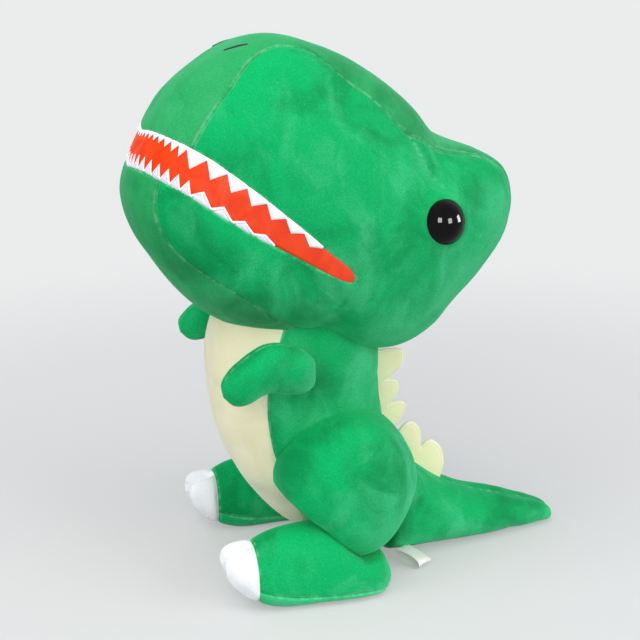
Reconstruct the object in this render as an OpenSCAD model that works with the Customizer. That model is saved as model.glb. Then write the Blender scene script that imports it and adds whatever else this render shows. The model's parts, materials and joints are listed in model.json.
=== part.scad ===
// Plush tyrannosaur that stands on two feet and its tail.
// Millimetres. The animal faces -Y, its left side is +X, +Z is up.
// Every fabric panel is a thin closed shell, and every stuffing core is a
// closed solid a hair's breadth inside its own panels.

/* [General] */
cloth = 2.0; // thickness of the plush fabric
ease = 0.3; // clearance between fabric and stuffing
shift_y = -64.9; // moves the feet's centre so that the box is centred on the origin

/* [Head] */
head_y = 31; // mouth corner, along the body
head_z = 271; // mouth corner, above the floor
cheek_x = 98; // half width of the head at the cheeks
// angle round the mouth corner (0 front, 90 up, 180 back, 270 down), radius
head_profile = [
    [20, 172], [29, 178], [38, 182], [47, 186], [57, 188], [68, 189],
    [78, 184], [90, 170], [105, 154], [120, 143], [132, 137], [141, 144],
    [148, 157], [155, 169], [163, 171], [172, 163], [183, 144], [198, 124],
    [213, 114], [228, 104], [240, 94], [256, 80], [272, 68], [290, 66],
    [308, 78], [324, 93], [340, 110], [360, 137], [371, 158], [380, 172],
    [389, 178], [400, 182]
];
// angle, squareness of the cross section in that direction
head_squareness = [
    [20, 2.45], [38, 2.6], [90, 2.5], [135, 2.5], [165, 2.3], [200, 2.2],
    [240, 2.1], [280, 1.9], [320, 1.9], [360, 2.4], [400, 2.6]
];
brow_rise = 7; // height of the two brow hills
brow_angle = 150;
brow_x = 52;
// angle, half width of the centre panels where they meet the side panels
centre_seam = [
    [20, 66], [38, 65], [48, 63], [60, 56], [70, 42.5], [78, 34.5], [85, 41.5],
    [92, 56], [100, 60], [115, 66], [130, 56], [140, 48], [150, 44], [160, 42],
    [170, 38], [185, 36], [200, 34], [220, 34], [240, 36], [290, 52],
    [310, 62], [330, 72], [345, 78], [357, 76], [366, 66], [375, 57],
    [385, 54], [400, 53]
];
seam_back = 240; // where the crown panel ends and the chin panel starts

/* [Mouth] */
mouth_angle = 32; // direction of the mouth at the middle of the lips
mouth_lift = 3.6; // extra angle on the cheeks
// distance from the corner, half height of the open mouth
mouth_opening = [
    [0, 0], [3, 4], [8, 5.6], [18, 6.6], [36, 8], [66, 11], [104, 14],
    [130, 15], [200, 15]
];
tooth_pitch = 18.5; // along the lip, on the cheeks
front_pitch = 7.6; // along the lip, in front
front_reach = 68; // where the front teeth end, from the middle
tooth_height = 13;
felt = 1.0; // thickness of the white felt

/* [Eyes and nose] */
eye_angle = 153;
eye_turn = 60;
eye_r = 17.6; // radius of the plastic dome
eye_rise = 11;
shank_r = 2.4;
washer_r = 9;
nostril_length = 20;
nostril_r = 1.0;

/* [Neck] */
neck_y = 2;
neck_z = 143;
neck_r = 85.2; // ball surface that the head rides on
dome_r = 83.6; // rounded top of the body inside it
neck_cut = 200; // height where the turning plug starts

/* [Body] */
// height, belly, back, half width
body_profile = [
    [24, 22, 50, 10], [30, 8, 62, 22], [40, -6, 80, 30], [60, -24, 98, 41],
    [85, -41, 98, 55], [115, -55, 89, 61], [150, -63, 81, 64],
    [178, -66, 79, 67], [200, -65, 79, 66], [219, -60, 78, 63],
    [245, -50, 70, 55]
];
body_squareness = 2.4;
// height, angle of the cream panel on each side of the middle
belly_edge = [[24, 56], [60, 58], [120, 58], [180, 62], [230, 70]];

/* [Tail] */
tail_pivot_y = 110;
tail_pivot_z = 48;
tail_ball = 60; // ball surface between the tail and the body
// distance along, top height, half width
tail_profile = [
    [66, 94, 50], [80, 99, 54], [91, 96, 54], [105, 86, 52], [125, 70, 47],
    [145, 56, 42], [177, 41, 35], [213, 30, 27], [240, 21.5, 20], [253, 15.5, 13], [259, 9, 5]
];
tail_squareness = 2.5;

/* [Arms] */
arm_x = 83.2; // middle of the arm from the centre plane
// station, along the body, height, half thickness sideways, half depth, outward lean
arm_path = [
    [0, 3, 195, 2, 2, 0], [1, 0, 195, 11, 13, 0], [2, -8, 196.5, 16, 18, 0],
    [3, -20, 200, 16.5, 20.5, 0], [4, -32, 202.5, 16.5, 20.5, 1],
    [5, -46, 198, 16, 18, 3], [6, -59, 190.5, 15, 16, 5],
    [7, -68, 186, 11, 11, 6], [8, -72, 184, 2, 2, 6]
];

/* [Legs] */
thigh_y = 33;
thigh_z = 90;
thigh_out = 109; // outer face from the centre plane
// angle (0 front, 90 up), radius
thigh_profile = [
    [-60, 66], [-30, 54], [0, 55], [14, 57], [30, 58], [60, 59], [90, 61], [120, 62],
    [150, 64.5], [180, 68.5], [210, 69], [240, 74], [265, 76], [285, 66],
    [305, 53], [330, 54], [360, 55], [374, 57], [390, 58]
];
foot_x = 76;
// along the foot, outer half width, inner half width, top, seam level, underside
foot_profile = [
    [-74, 3, 3, 41, 38, 35], [-72, 13, 12, 46, 37, 29], [-67, 20, 18, 50, 33, 22],
    [-58, 26, 22, 52, 26, 13], [-48, 29, 24, 53, 20, 6], [-34, 30, 25, 58, 15, 1.5],
    [-20, 31, 26, 61, 12, 0], [0, 32, 26, 63, 10, 0], [20, 33, 26, 63, 9, 0],
    [40, 32, 25, 50, 8, 0], [56, 28, 23, 40, 7, 0], [66, 18, 15, 27, 7, 1],
    [70, 9, 8, 15, 6, 3], [71, 3, 3, 8, 5.5, 4]
];
toe_edge = -48; // where the white toe cap ends
toe_x = 12; // each toe from the foot's middle
toe_notch = 7;
toe_groove = 3; // depth of the groove between the toes, on top
sole_spread = 1.25; // how far the underside is pressed flat

/* [Crest and tag] */
crest_half = 2.5;
tag_width = 17;
tag_length = 27;

/* [Hidden] */
green = [0.05, 0.55, 0.30];
nap_green = [0.16, 0.62, 0.36];
cream = [0.95, 0.92, 0.70];
white = [0.94, 0.95, 0.97];
red = [0.93, 0.20, 0.10];
black = [0.02, 0.02, 0.02];
fill = [0.96, 0.96, 0.94];

// ---------- smooth curves through a table's rows ----------
function row_at(t, x, i = 0) =
    (i >= len(t) - 2 || x < t[i + 1][0]) ? i : row_at(t, x, i + 1);
function slope_at(t, c, j) =
    let (a = max(j - 1, 0), b = min(j + 1, len(t) - 1))
    (t[b][c] - t[a][c]) / (t[b][0] - t[a][0]);
function curve(t, x0, c = 1) =
    let (
        x = min(max(x0, t[0][0]), t[len(t) - 1][0]),
        i = row_at(t, x),
        h = t[i + 1][0] - t[i][0],
        u = (x - t[i][0]) / h
    )
    (2 * u * u * u - 3 * u * u + 1) * t[i][c]
    + (u * u * u - 2 * u * u + u) * h * slope_at(t, c, i)
    + (3 * u * u - 2 * u * u * u) * t[i + 1][c]
    + (u * u * u - u * u) * h * slope_at(t, c, i + 1);
function steps(n) = [for (i = [0 : n]) i / n];
function unit(v) = v / norm(v);

// ---------- closed meshes from a grid of points ----------
// p0, p1: the first or last row is one point; q1: the last column is one point;
// wrap: the last column meets the first.
function corner(i, j, nu, nv, p0, p1, q0, q1, wrap) =
    let (
        jj = ((p0 && i == 0) || (p1 && i == nu - 1) || (wrap && j == nv - 1)) ? 0 : j,
        ii = ((q0 && j == 0) || (q1 && j == nv - 1)) ? 0 : i
    )
    ii * nv + jj;
function whole(f) = [for (t = f) if (t[0] != t[1] && t[1] != t[2] && t[0] != t[2]) t];
function quad(a, b, c, d) = [[a, b, c], [a, c, d]];

// a closed solid: rows of rings, both ends points. Cells before row i0, before
// column j0 or from column j1 on are split along their other diagonal, as in the skins.
module core(g, flip = false, i0 = 0, j0 = 0, j1 = 1000) {
    nu = len(g); nv = len(g[0]);
    pts = [for (r = g) for (p = r) [p[0], p[1] + shift_y, p[2]]];
    faces = whole([
        for (i = [0 : nu - 2]) for (j = [0 : nv - 2])
        let (
            a = corner(i, j, nu, nv, true, true, false, false, true),
            b = corner(i, j + 1, nu, nv, true, true, false, false, true),
            c = corner(i + 1, j + 1, nu, nv, true, true, false, false, true),
            d = corner(i + 1, j, nu, nv, true, true, false, false, true)
        )
        for (t = (i < i0 || j < j0 || j >= j1) ? quad(b, c, d, a) : quad(a, b, c, d))
        flip ? [t[0], t[2], t[1]] : t
    ]);
    polyhedron(pts, faces, convexity = 6);
}

// a thin closed shell between an outer and an inner grid
module skin(o, n, flip = false, p0 = false, p1 = false, q0 = false, q1 = false,
            wrap = false, hole = [-1, -1]) {
    nu = len(o); nv = len(o[0]);
    k = nu * nv;
    pts = [for (g = [o, n]) for (r = g) for (p = r) [p[0], p[1] + shift_y, p[2]]];
    function id(i, j) = corner(i, j, nu, nv, p0, p1, q0, q1, wrap);
    hi = hole[0]; hj = hole[1];
    sheet = [
        for (i = [0 : nu - 2]) for (j = [0 : nv - 2])
        if (i != hi || j != hj)
        for (t = quad(id(i, j), id(i, j + 1), id(i + 1, j + 1), id(i + 1, j))) t
    ];
    back = [for (t = sheet) [t[0] + k, t[2] + k, t[1] + k]];
    start = [for (j = [0 : nv - 2]) if (!p0) for (t = quad(id(0, j), id(0, j) + k, id(0, j + 1) + k, id(0, j + 1))) t];
    stop = [for (j = [0 : nv - 2]) if (!p1) for (t = quad(id(nu - 1, j + 1), id(nu - 1, j + 1) + k, id(nu - 1, j) + k, id(nu - 1, j))) t];
    low = [for (i = [0 : nu - 2]) if (!q0 && !wrap) for (t = quad(id(i + 1, 0), id(i + 1, 0) + k, id(i, 0) + k, id(i, 0))) t];
    high = [for (i = [0 : nu - 2]) if (!q1 && !wrap) for (t = quad(id(i, nv - 1), id(i, nv - 1) + k, id(i + 1, nv - 1) + k, id(i + 1, nv - 1))) t];
    ring = hi < 0 ? [] : [
        for (e = [[[hi, hj], [hi, hj + 1]], [[hi, hj + 1], [hi + 1, hj + 1]],
                  [[hi + 1, hj + 1], [hi + 1, hj]], [[hi + 1, hj], [hi, hj]]])
        for (t = quad(id(e[1][0], e[1][1]), id(e[1][0], e[1][1]) + k,
                      id(e[0][0], e[0][1]) + k, id(e[0][0], e[0][1]))) t
    ];
    all = whole(concat(sheet, back, start, stop, low, high, ring));
    polyhedron(pts, [for (t = all) flip ? [t[0], t[2], t[1]] : t], convexity = 6);
}

// ---------- head surface ----------
function lap(a) = a < 20 ? a + 360 : a;
function head_n(a) = curve(head_squareness, lap(a));
function head_r(a) = curve(head_profile, lap(a));
// how far a direction reaches: [towards the profile, towards the cheek]
function reach(t, n) =
    let (c = max(cos(t), 0.000001), s = max(abs(sin(t)), 0.000001),
         k = pow(pow(c, n) + pow(s, n), -1 / n))
    [c * k, (t < 0 ? -1 : 1) * s * k];
function turn_at(a, x, n) =
    let (g = min(x / cheek_x, 0.999)) atan2(g, pow(1 - pow(g, n), 1 / n));
function seam_turn(a) = turn_at(a, curve(centre_seam, lap(a)), head_n(a));
// a: angle round the mouth corner, t: 0 on the centre plane, 90 at the corner,
// d: depth below the cloth's face
function head_at(a, t, d) =
    let (
        w = reach(t, head_n(a)),
        x = (cheek_x - d) * w[1],
        hill = w[0] < 0.3 ? 0 : brow_rise / w[0]
            * exp(-pow((a - brow_angle) / 9, 2) - pow((abs(x) - brow_x) / 22, 2)),
        r = head_r(a) - d + hill,
        y = head_y - r * w[0] * cos(a),
        z = head_z + r * w[0] * sin(a),
        q = pow(neck_r + d, 2) - x * x - pow(y - neck_y, 2),
        ball = q > 0 ? neck_z + sqrt(q) : -1
    )
    [x, y, max(z, ball)];
function mouth_mid(t) = mouth_angle + mouth_lift * min(abs(t) / 45, 1);
function mouth_half(t) =
    let (a = mouth_mid(t), s = max(head_r(a) * reach(t, head_n(a))[0], 0.001),
         h = curve(mouth_opening, s))
    asin(min(h / s, 0.99));
function upper_lip(t) = mouth_mid(t) + mouth_half(t);
function lower_lip(t) = 360 + mouth_mid(t) - mouth_half(t);
// angle of row u (0 upper lip, 1 back seam, 2 lower lip)
function row_angle(u, t) =
    u <= 1 ? upper_lip(t) + (seam_back - upper_lip(t)) * u
    : seam_back + (lower_lip(t) - seam_back) * (u - 1);
function side_turn(a, v) = seam_turn(a) + (90 - seam_turn(a)) * v;
function side_angle(u, v, a, k = 5) = k == 0 ? a : side_angle(u, v, row_angle(u, side_turn(a, v)), k - 1);
function first_angle(u) = row_angle(u, 30);
function side_grid(us, vs, d, m) = [
    for (u = us) [for (v = vs)
        let (a = side_angle(u, v, first_angle(u)), p = head_at(a, side_turn(a, v), d))
        [m * p[0], p[1], p[2]]]
];
function centre_angle(u, v, a, k = 5) = k == 0 ? a : centre_angle(u, v, row_angle(u, abs(v) * seam_turn(a)), k - 1);
function centre_grid(us, vs, d) = [
    for (u = us) [for (v = vs)
        let (a = centre_angle(u, v, first_angle(u))) head_at(a, v * seam_turn(a), d)]
];

crown_rows = steps(26);
chin_rows = [for (u = steps(16)) 1 + u];
side_rows = concat(crown_rows, [for (i = [1 : 16]) 1 + i / 16]);
side_cols = [0, 0.15, 0.3, 0.45, 0.6, 0.75, 0.88, 0.96, 1];
crown_cols = [-1, -0.66, -0.33, 0, 0.33, 0.66, 1];

module head_side(m) {
    color(green)
    skin(side_grid(side_rows, side_cols, 0, m), side_grid(side_rows, side_cols, cloth, m),
         flip = m > 0, q1 = true, hole = [14, 3]);
}
module head_side_left() { head_side(1); }
module head_side_right() { head_side(-1); }
module crown_panel() {
    color(nap_green)
    skin(centre_grid(crown_rows, crown_cols, 0), centre_grid(crown_rows, crown_cols, cloth), flip = true);
}
module chin_panel() {
    color(nap_green)
    skin(centre_grid(chin_rows, crown_cols, 0), centre_grid(chin_rows, crown_cols, cloth), flip = true);
}

// mouth: the same columns as the panels next to it
function lip_turns(u) =
    let (s = side_angle(u, 0, first_angle(u)), e = seam_turn(s))
    concat([for (i = [8 : -1 : 1]) -lip_turn(u, side_cols[i])],
           [for (v = crown_cols) v * e],
           [for (i = [1 : 8]) lip_turn(u, side_cols[i])]);
function lip_turn(u, v) = let (a = side_angle(u, v, first_angle(u))) side_turn(a, v);
function mouth_grid(d) =
    let (up = lip_turns(0), lo = lip_turns(2))
    [for (f = [0, 0.5, 1]) [for (j = [0 : len(up) - 1])
        let (t = up[j] + (lo[j] - up[j]) * f,
             a = f == 0 ? upper_lip(t) : f == 1 ? lower_lip(t) - 360 : mouth_mid(t))
        head_at(a, t, d)]];
module mouth_lining() {
    color(red)
    skin(mouth_grid(0), mouth_grid(cloth), q0 = true, q1 = true);
}

// teeth: one felt strip with a saw edge, folded round the lip
// walks along the lip in steps of equal length
function lip_point(t, side, lift, drop) =
    let (a0 = side > 0 ? upper_lip(t) : lower_lip(t) - 360,
         s = max(head_r(mouth_mid(t)) * reach(t, head_n(30))[0], 1),
         a = a0 - side * asin(min(drop / s, 0.9)))
    head_at(a, t, -lift);
function lip_length(side, t, n = 24) =
    let (p = [for (i = [0 : n]) lip_point(t * i / n, side, 0, 0)])
    sum_length(p, n);
function sum_length(p, k) = k == 0 ? 0 : norm(p[k] - p[k - 1]) + sum_length(p, k - 1);
function lip_seek(side, s, lo = 0, hi = 89, k = 14) =
    k == 0 ? (lo + hi) / 2
    : lip_length(side, (lo + hi) / 2) < s ? lip_seek(side, s, (lo + hi) / 2, hi, k - 1)
    : lip_seek(side, s, lo, (lo + hi) / 2, k - 1);
// narrow teeth in front, wide ones on the cheeks; count: wide teeth on each side
function front_count() = round(front_reach / front_pitch);
function tooth_at(i) = i <= 2 * front_count() ? i * front_pitch / 2
    : front_count() * front_pitch + (i - 2 * front_count()) * tooth_pitch / 2;
function gum_half(count, side) = [for (i = [0 : 2 * (count + front_count())]) lip_seek(side, tooth_at(i))];
module teeth(side, count, front, last) {
    half = gum_half(count, side);
    n = len(half) - 1;
    turns = concat([for (i = [n : -1 : 1]) -half[i]], half);
    m = len(turns);
    depth = [for (i = [0 : m - 1])
        let (k = abs(i - n) - 2 * front_count())
        (i % 2 == n % 2) ? 1.2
        : tooth_height * (k <= 0 ? front : 1 + (last - 1) * k / (2 * count))];
    g_out = [for (f = [0.02, 1]) [for (i = [0 : m - 1]) lip_point(turns[i], side, 0.4 + felt, depth[i] * f)]];
    g_in = [for (f = [0.02, 1]) [for (i = [0 : m - 1]) lip_point(turns[i], side, 0.4, depth[i] * f)]];
    color(white) skin(g_out, g_in, flip = side < 0);
}
module upper_teeth() { teeth(1, 7, 0.5, 0.5); }
module lower_teeth() { teeth(-1, 5, 0.8, 0.35); }

// stuffing: the panels' own rows and columns, a little deeper
eye_point = head_at(eye_angle, eye_turn, 0);
function eye_dent(p) = 9 * exp(-pow(norm([abs(p[0]), p[1], p[2]] - eye_point) / 17, 4));
function head_core_at(a, t) =
    let (p = head_at(a, t, cloth + ease), e = eye_dent(p))
    e < 0.05 ? p : head_at(a, t, cloth + ease + e);
function head_core_spot(u, c) =
    c > 7 && c < 15
    ? let (v = crown_cols[c - 8], a = centre_angle(u, v, first_angle(u))) head_core_at(a, v * seam_turn(a))
    : let (v = side_cols[c < 8 ? 8 - c : c - 14], a = side_angle(u, v, first_angle(u)),
           p = head_core_at(a, side_turn(a, v))) [c < 8 ? -p[0] : p[0], p[1], p[2]];
module head_stuffing() {
    up = lip_turns(0);
    lo = lip_turns(2);
    color(fill)
    core([for (c = [0 : 22]) concat(
        [for (u = side_rows) head_core_spot(u, c)],
        [let (t = (up[c] + lo[c]) / 2) head_core_at(mouth_mid(t), t)],
        [head_core_spot(0, c)])], i0 = 8, j1 = len(side_rows) - 1);
}

// ---------- eyes, nostrils ----------
function head_normal(a, t) =
    unit(cross(head_at(a + 2, t, 0) - head_at(a - 2, t, 0), head_at(a, t + 2, 0) - head_at(a, t - 2, 0)));
eye_n = let (n = head_normal(eye_angle, eye_turn)) n[0] < 0 ? -n : n;
module aim(n) {
    rotate([0, acos(n[2]), atan2(n[1], n[0])]) children();
}
module on_face(m, p, n, lift) {
    translate([m * (p[0] + n[0] * lift), p[1] + n[1] * lift + shift_y, p[2] + n[2] * lift])
    aim([m * n[0], n[1], n[2]]) children();
}
module eye(m) {
    ball = (eye_r * eye_r + eye_rise * eye_rise) / (2 * eye_rise);
    color(black) on_face(m, eye_point, eye_n, 0.3)
    union() {
        intersection() {
            translate([0, 0, eye_rise - ball]) sphere(r = ball, $fn = 64);
            cylinder(r = eye_r + 5, h = 30, $fn = 64);
        }
        translate([0, 0, -8]) cylinder(r = shank_r, h = 8.5, $fn = 32);
    }
}
module eye_left() { eye(1); }
module eye_right() { eye(-1); }
module washer(m) {
    color(white) on_face(m, eye_point, eye_n, -cloth - 3.4)
    difference() {
        cylinder(r = washer_r, h = 1.6, $fn = 48);
        translate([0, 0, -1]) cylinder(r = shank_r + 0.05, h = 4, $fn = 32);
    }
}
module eye_washer_left() { washer(1); }
module eye_washer_right() { washer(-1); }
module nostril(m) {
    a = head_at(64, 12, -nostril_r - 0.35);
    b = head_at(70, 16, -nostril_r - 0.35);
    c = (a + b) / 2;
    n = unit(b - a);
    color(black)
    translate([m * c[0], c[1] + shift_y, c[2]])
    aim([m * n[0], n[1], n[2]])
    union() {
        cylinder(r = nostril_r, h = nostril_length - 2 * nostril_r, center = true, $fn = 24);
        for (s = [-1, 1]) translate([0, 0, s * (nostril_length / 2 - nostril_r)]) sphere(r = nostril_r, $fn = 24);
    }
}
module nostril_left() { nostril(1); }
module nostril_right() { nostril(-1); }

// ---------- body ----------
function ring(t, n) =
    let (c = cos(t), s = sin(t), k = pow(pow(abs(c), n) + pow(abs(s), n), -1 / n)) [c * k, s * k];
function tail_wall(x, z, r) =
    let (q = r * r - x * x - pow(z - tail_pivot_z, 2)) q > 0 ? tail_pivot_y - sqrt(q) : 1000;
function body_at(z, t, d) =
    let (
        f = curve(body_profile, z, 1), b = curve(body_profile, z, 2), w = curve(body_profile, z, 3),
        g = ring(t, body_squareness), x = (w - d) * g[1],
        y = (f + b) / 2 - ((b - f) / 2 - d) * g[0]
    )
    [x, min(y, tail_wall(x, z, tail_ball + d)), z];
function dome(x, y, r) = let (q = r * r - x * x - pow(y - neck_y, 2)) q > 0 ? neck_z + sqrt(q) : neck_z;
function body_top(t, d, r, z = 196, k = 10) =
    k == 0 ? z : let (p = body_at(z, t, d)) body_top(t, d, r, (z + dome(p[0], p[1], r)) / 2, k - 1);
body_rows = [-1, 0, 0.035, 0.08, 0.14, 0.21, 0.28, 0.35, 0.42, 0.49, 0.56, 0.63, 0.7, 0.77, 0.84, 0.92, 1];
function edge_angle(z) = curve(belly_edge, z);
function body_spot(u, t, d) =
    u < 0 ? [0, 36, 23.6 + d]
    : body_at(24 + d + (body_top(t, d, dome_r) - 24 - d) * u, t, d);
function belly_turns(u) = let (e = edge_angle(24 + 195 * max(u, 0))) [for (v = [-1 : 0.25 : 1]) v * e];
function flank_turns(u) = let (e = edge_angle(24 + 195 * max(u, 0))) [for (v = steps(10)) e + (180 - e) * v];
function belly_grid(d) = [for (u = body_rows) [for (t = belly_turns(u)) body_spot(u, t, d)]];
function flank_grid(d, m) = [for (u = body_rows) [for (t = flank_turns(u))
    let (p = body_spot(u, t, d)) [m * p[0], p[1], p[2]]]];
module belly_panel() { color(cream) skin(belly_grid(0), belly_grid(cloth), flip = true, p0 = true); }
module body_side_left() { color(green) skin(flank_grid(0, 1), flank_grid(cloth, 1), flip = true, p0 = true); }
module body_side_right() { color(green) skin(flank_grid(0, -1), flank_grid(cloth, -1), p0 = true); }
module body_stuffing() {
    d = cloth + ease;
    shell = [for (u = body_rows) let (f = flank_turns(u), b = belly_turns(u))
        [for (t = concat([for (i = [10 : -1 : 1]) -f[i]], b, [for (i = [1 : 10]) f[i]])) body_spot(u, t, d)]];
    grid = concat(shell, [for (s = [0.94, 0.8, 0.55, 0.25, 0]) [for (p = shell[len(shell) - 1])
        let (x = p[0] * s, y = 6 + (p[1] - 6) * s) [x, y, min(dome(x, y, dome_r), neck_cut)]]]);
    color(fill) core(grid, flip = true, j0 = 10);
}
module neck_plug() {
    color(fill)
    translate([0, neck_y + shift_y, neck_z])
    intersection() {
        sphere(r = dome_r, $fn = 96);
        translate([-80, -80, neck_cut - neck_z + 0.3]) cube([160, 160, 60]);
    }
}

// neck: a band of cloth under the head, open at both ends
// height of the head's underside above a spot
function under_angle(x, y, lo = 240, hi = 352, k = 16) =
    let (a = (lo + hi) / 2, n = head_n(a), f = pow(1 - pow(min(abs(x) / cheek_x, 0.999), n), 1 / n),
         y1 = head_y - head_r(a) * f * cos(a))
    k == 0 ? a : y1 > y ? under_angle(x, y, a, hi, k - 1) : under_angle(x, y, lo, a, k - 1);
function under_head(x, y) =
    let (a = under_angle(x, y), n = head_n(a), f = pow(1 - pow(min(abs(x) / cheek_x, 0.999), n), 1 / n))
    head_z + head_r(a) * f * sin(a);
function collar_top(t, d, z = 215, k = 8) =
    k == 0 ? z : let (p = body_at(z, t, d)) collar_top(t, d, (z + under_head(p[0], p[1]) - 0.5) / 2, k - 1);
function collar_at(t, d, u) =
    let (lo = body_top(t, d, neck_r - 0.1), hi = max(collar_top(t, d), lo + 1.5)) body_at(lo + (hi - lo) * u, t, d);
function collar_grid(ts, d, m) = [for (u = [0, 0.35, 0.7, 1]) [for (t = ts) let (p = collar_at(t, d, u)) [m * p[0], p[1], p[2]]]];
collar_split = 67;
module neck_front() {
    ts = [for (v = [-1 : 0.25 : 1]) v * collar_split];
    color(cream) skin(collar_grid(ts, 0, 1), collar_grid(ts, cloth, 1), flip = true);
}
module neck_side(m) {
    ts = [for (v = steps(10)) collar_split + (180 - collar_split) * v];
    color(green) skin(collar_grid(ts, 0, m), collar_grid(ts, cloth, m), flip = m > 0);
}
module neck_side_left() { neck_side(1); }
module neck_side_right() { neck_side(-1); }
// filling of the collar: a wedge between the ball and the head's underside
function wedge_height(x, y) = under_head(x, y) - 0.5 - dome(x, y, neck_r);
function wedge_spot(p, s) = [p[0] * s, neck_y + (p[1] - neck_y) * s];
function wedge_rim(p, lo = 0.3, hi = 1, k = 12) =
    let (s = (lo + hi) / 2, q = wedge_spot(p, s))
    k == 0 ? hi : wedge_height(q[0], q[1]) > 0.6 ? wedge_rim(p, lo, s, k - 1) : wedge_rim(p, s, hi, k - 1);
module neck_stuffing() {
    side = [for (v = steps(10)) collar_split + (180 - collar_split) * v];
    ts = concat([for (i = [10 : -1 : 1]) -side[i]], [for (v = [-1 : 0.25 : 1]) v * collar_split], [for (i = [1 : 10]) side[i]]);
    rims = [for (t = ts) let (p = collar_at(t, cloth + ease, 1), s = min(wedge_rim(p), 0.96))
        [wedge_spot(p, s), p, collar_at(t, cloth + ease, 0)]];
    top = [for (v = [0, 0.33, 0.66, 1]) [for (r = rims)
        let (x = r[0][0] + (r[1][0] - r[0][0]) * v, y = r[0][1] + (r[1][1] - r[0][1]) * v)
        [x, y, under_head(x, y) - 0.5]]];
    low = [for (v = [0, 0.33, 0.66, 1]) [for (r = rims)
        let (x = r[0][0] + (r[2][0] - r[0][0]) * v, y = r[0][1] + (r[2][1] - r[0][1]) * v)
        [x, y, dome(x, y, neck_r)]]];
    color(fill) skin(top, low, wrap = true);
}

// ---------- tail ----------
function tail_ring(y, t, d) =
    let (
        top = curve(tail_profile, y, 1), w = curve(tail_profile, y, 2), g = ring(t, tail_squareness)
    )
    [(w - d) * g[1], (top / 2 - d) * g[0] + top / 2];
function tail_mouth(t, d, s) =
    let (
        g = tail_ring(80, t, d), x = g[0] * s, z = tail_pivot_z + (g[1] - tail_pivot_z) * s,
        r = tail_ball - 1
    )
    [x, tail_pivot_y - sqrt(r * r - x * x - pow(z - tail_pivot_z, 2)), z];
tail_stations = [91, 105, 125, 145, 177, 213, 240, 253];
tail_turns = [for (i = [0 : 24]) 15 * i];
function tail_grid(d) = concat(
    [[for (t = tail_turns) tail_mouth(t, d, 1)]],
    [for (y = tail_stations) [for (t = tail_turns) let (g = tail_ring(y, t, d)) [g[0], y, g[1]]]],
    [[for (t = tail_turns) [0, 260 - d, 5]]]
);
module tail_skin() { color(green) skin(tail_grid(0), tail_grid(cloth), flip = true, p1 = true, wrap = true); }
module tail_stuffing() {
    d = cloth + ease;
    color(fill) core(concat(
        [for (s = [0, 0.35, 0.7]) [for (t = tail_turns) tail_mouth(t, d, s)]], tail_grid(d)), flip = true);
}

// ---------- arms ----------
function arm_point(s, t, d, m) =
    let (
        y = curve(arm_path, s, 1), z = curve(arm_path, s, 2),
        y2 = curve(arm_path, s + 0.05, 1), z2 = curve(arm_path, s + 0.05, 2),
        y1 = curve(arm_path, s - 0.05, 1), z1 = curve(arm_path, s - 0.05, 2),
        along = unit([y2 - y1, z2 - z1]),
        g = ring(t, 2.2),
        w = max(curve(arm_path, s, 3) - d, 0.6), h = max(curve(arm_path, s, 4) - d, 0.6)
    )
    [m * (arm_x + curve(arm_path, s, 5) + w * g[1]), y - along[1] * h * g[0], z + along[0] * h * g[0]];
arm_turns = [for (i = [0 : 16]) 22.5 * i];
function arm_grid(d, m) = concat(
    [[for (t = arm_turns) [m * arm_x, 4 - d, 195]]],
    [for (s = [0.4, 1, 2, 3, 4, 5, 6, 7, 7.6]) [for (t = arm_turns) arm_point(s, t, d, m)]],
    [[for (t = arm_turns) [m * (arm_x + 6), -73 + d, 183.5]]]
);
// the missing cell is the slit on the body side that the filling goes in by
module arm_skin(m) {
    color(green)
    skin(arm_grid(0, m), arm_grid(cloth, m), flip = m > 0, p0 = true, p1 = true, wrap = true, hole = [3, 11]);
}
module arm_skin_left() { arm_skin(1); }
module arm_skin_right() { arm_skin(-1); }
module arm_core(m) { color(fill) core(arm_grid(cloth + ease, m), flip = m > 0); }
module arm_stuffing_left() { arm_core(1); }
module arm_stuffing_right() { arm_core(-1); }

// ---------- legs ----------
// two flat faces part the thigh (above) from the foot (below)
fold_y = 41.7;
function saddle(y) = max(31 + 0.917 * (fold_y - y), 31);
function flank_x(y, z) =
    let (
        f = curve(body_profile, z, 1), b = curve(body_profile, z, 2), w = curve(body_profile, z, 3),
        q = 1 - pow(min(abs(y - (f + b) / 2) / ((b - f) / 2), 1), body_squareness),
        ball = pow(tail_ball, 2) - pow(y - tail_pivot_y, 2) - pow(z - tail_pivot_z, 2)
    )
    max(w * pow(q, 1 / body_squareness), ball > 0 ? sqrt(ball) : 0, 36) + 0.9;
function thigh_point(a, f, g, d, m) =
    let (
        r = curve(thigh_profile, a) - d,
        y = thigh_y - r * f * cos(a),
        z = max(thigh_z + r * f * sin(a), saddle(y) + 0.4 + d),
        x0 = flank_x(y, z) + (d > cloth ? 0.8 : 0)
    )
    [m * (x0 + (thigh_out - d - x0) * g), y, z];
thigh_angles = [for (i = [0 : 28]) -60 + 360 * i / 28];
thigh_turns = [0, 12, 25, 38, 52, 70];
function bow(t) = let (n = 2.4, k = pow(pow(cos(t), n) + pow(sin(t), n), -1 / n)) [cos(t) * k, sin(t) * k];
function thigh_grid(d, m) = concat(
    [for (t = thigh_turns) let (w = bow(t)) [for (a = thigh_angles) thigh_point(a, w[0], w[1], d, m)]],
    [[for (a = thigh_angles) thigh_point(a, 0, 1, d, m)]]
);
module thigh_skin(m) { color(green) skin(thigh_grid(0, m), thigh_grid(cloth, m), flip = m < 0, p1 = true, wrap = true); }
module thigh_skin_left() { thigh_skin(1); }
module thigh_skin_right() { thigh_skin(-1); }
module thigh_core(m) {
    d = cloth + ease;
    color(fill) core(concat(
        [for (s = [0, 0.28, 0.55, 0.8]) [for (a = thigh_angles) thigh_point(a, s, 0, d + 1.5, m)]], thigh_grid(d, m)), flip = m < 0);
}
module thigh_stuffing_left() { thigh_core(1); }
module thigh_stuffing_right() { thigh_core(-1); }

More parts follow.
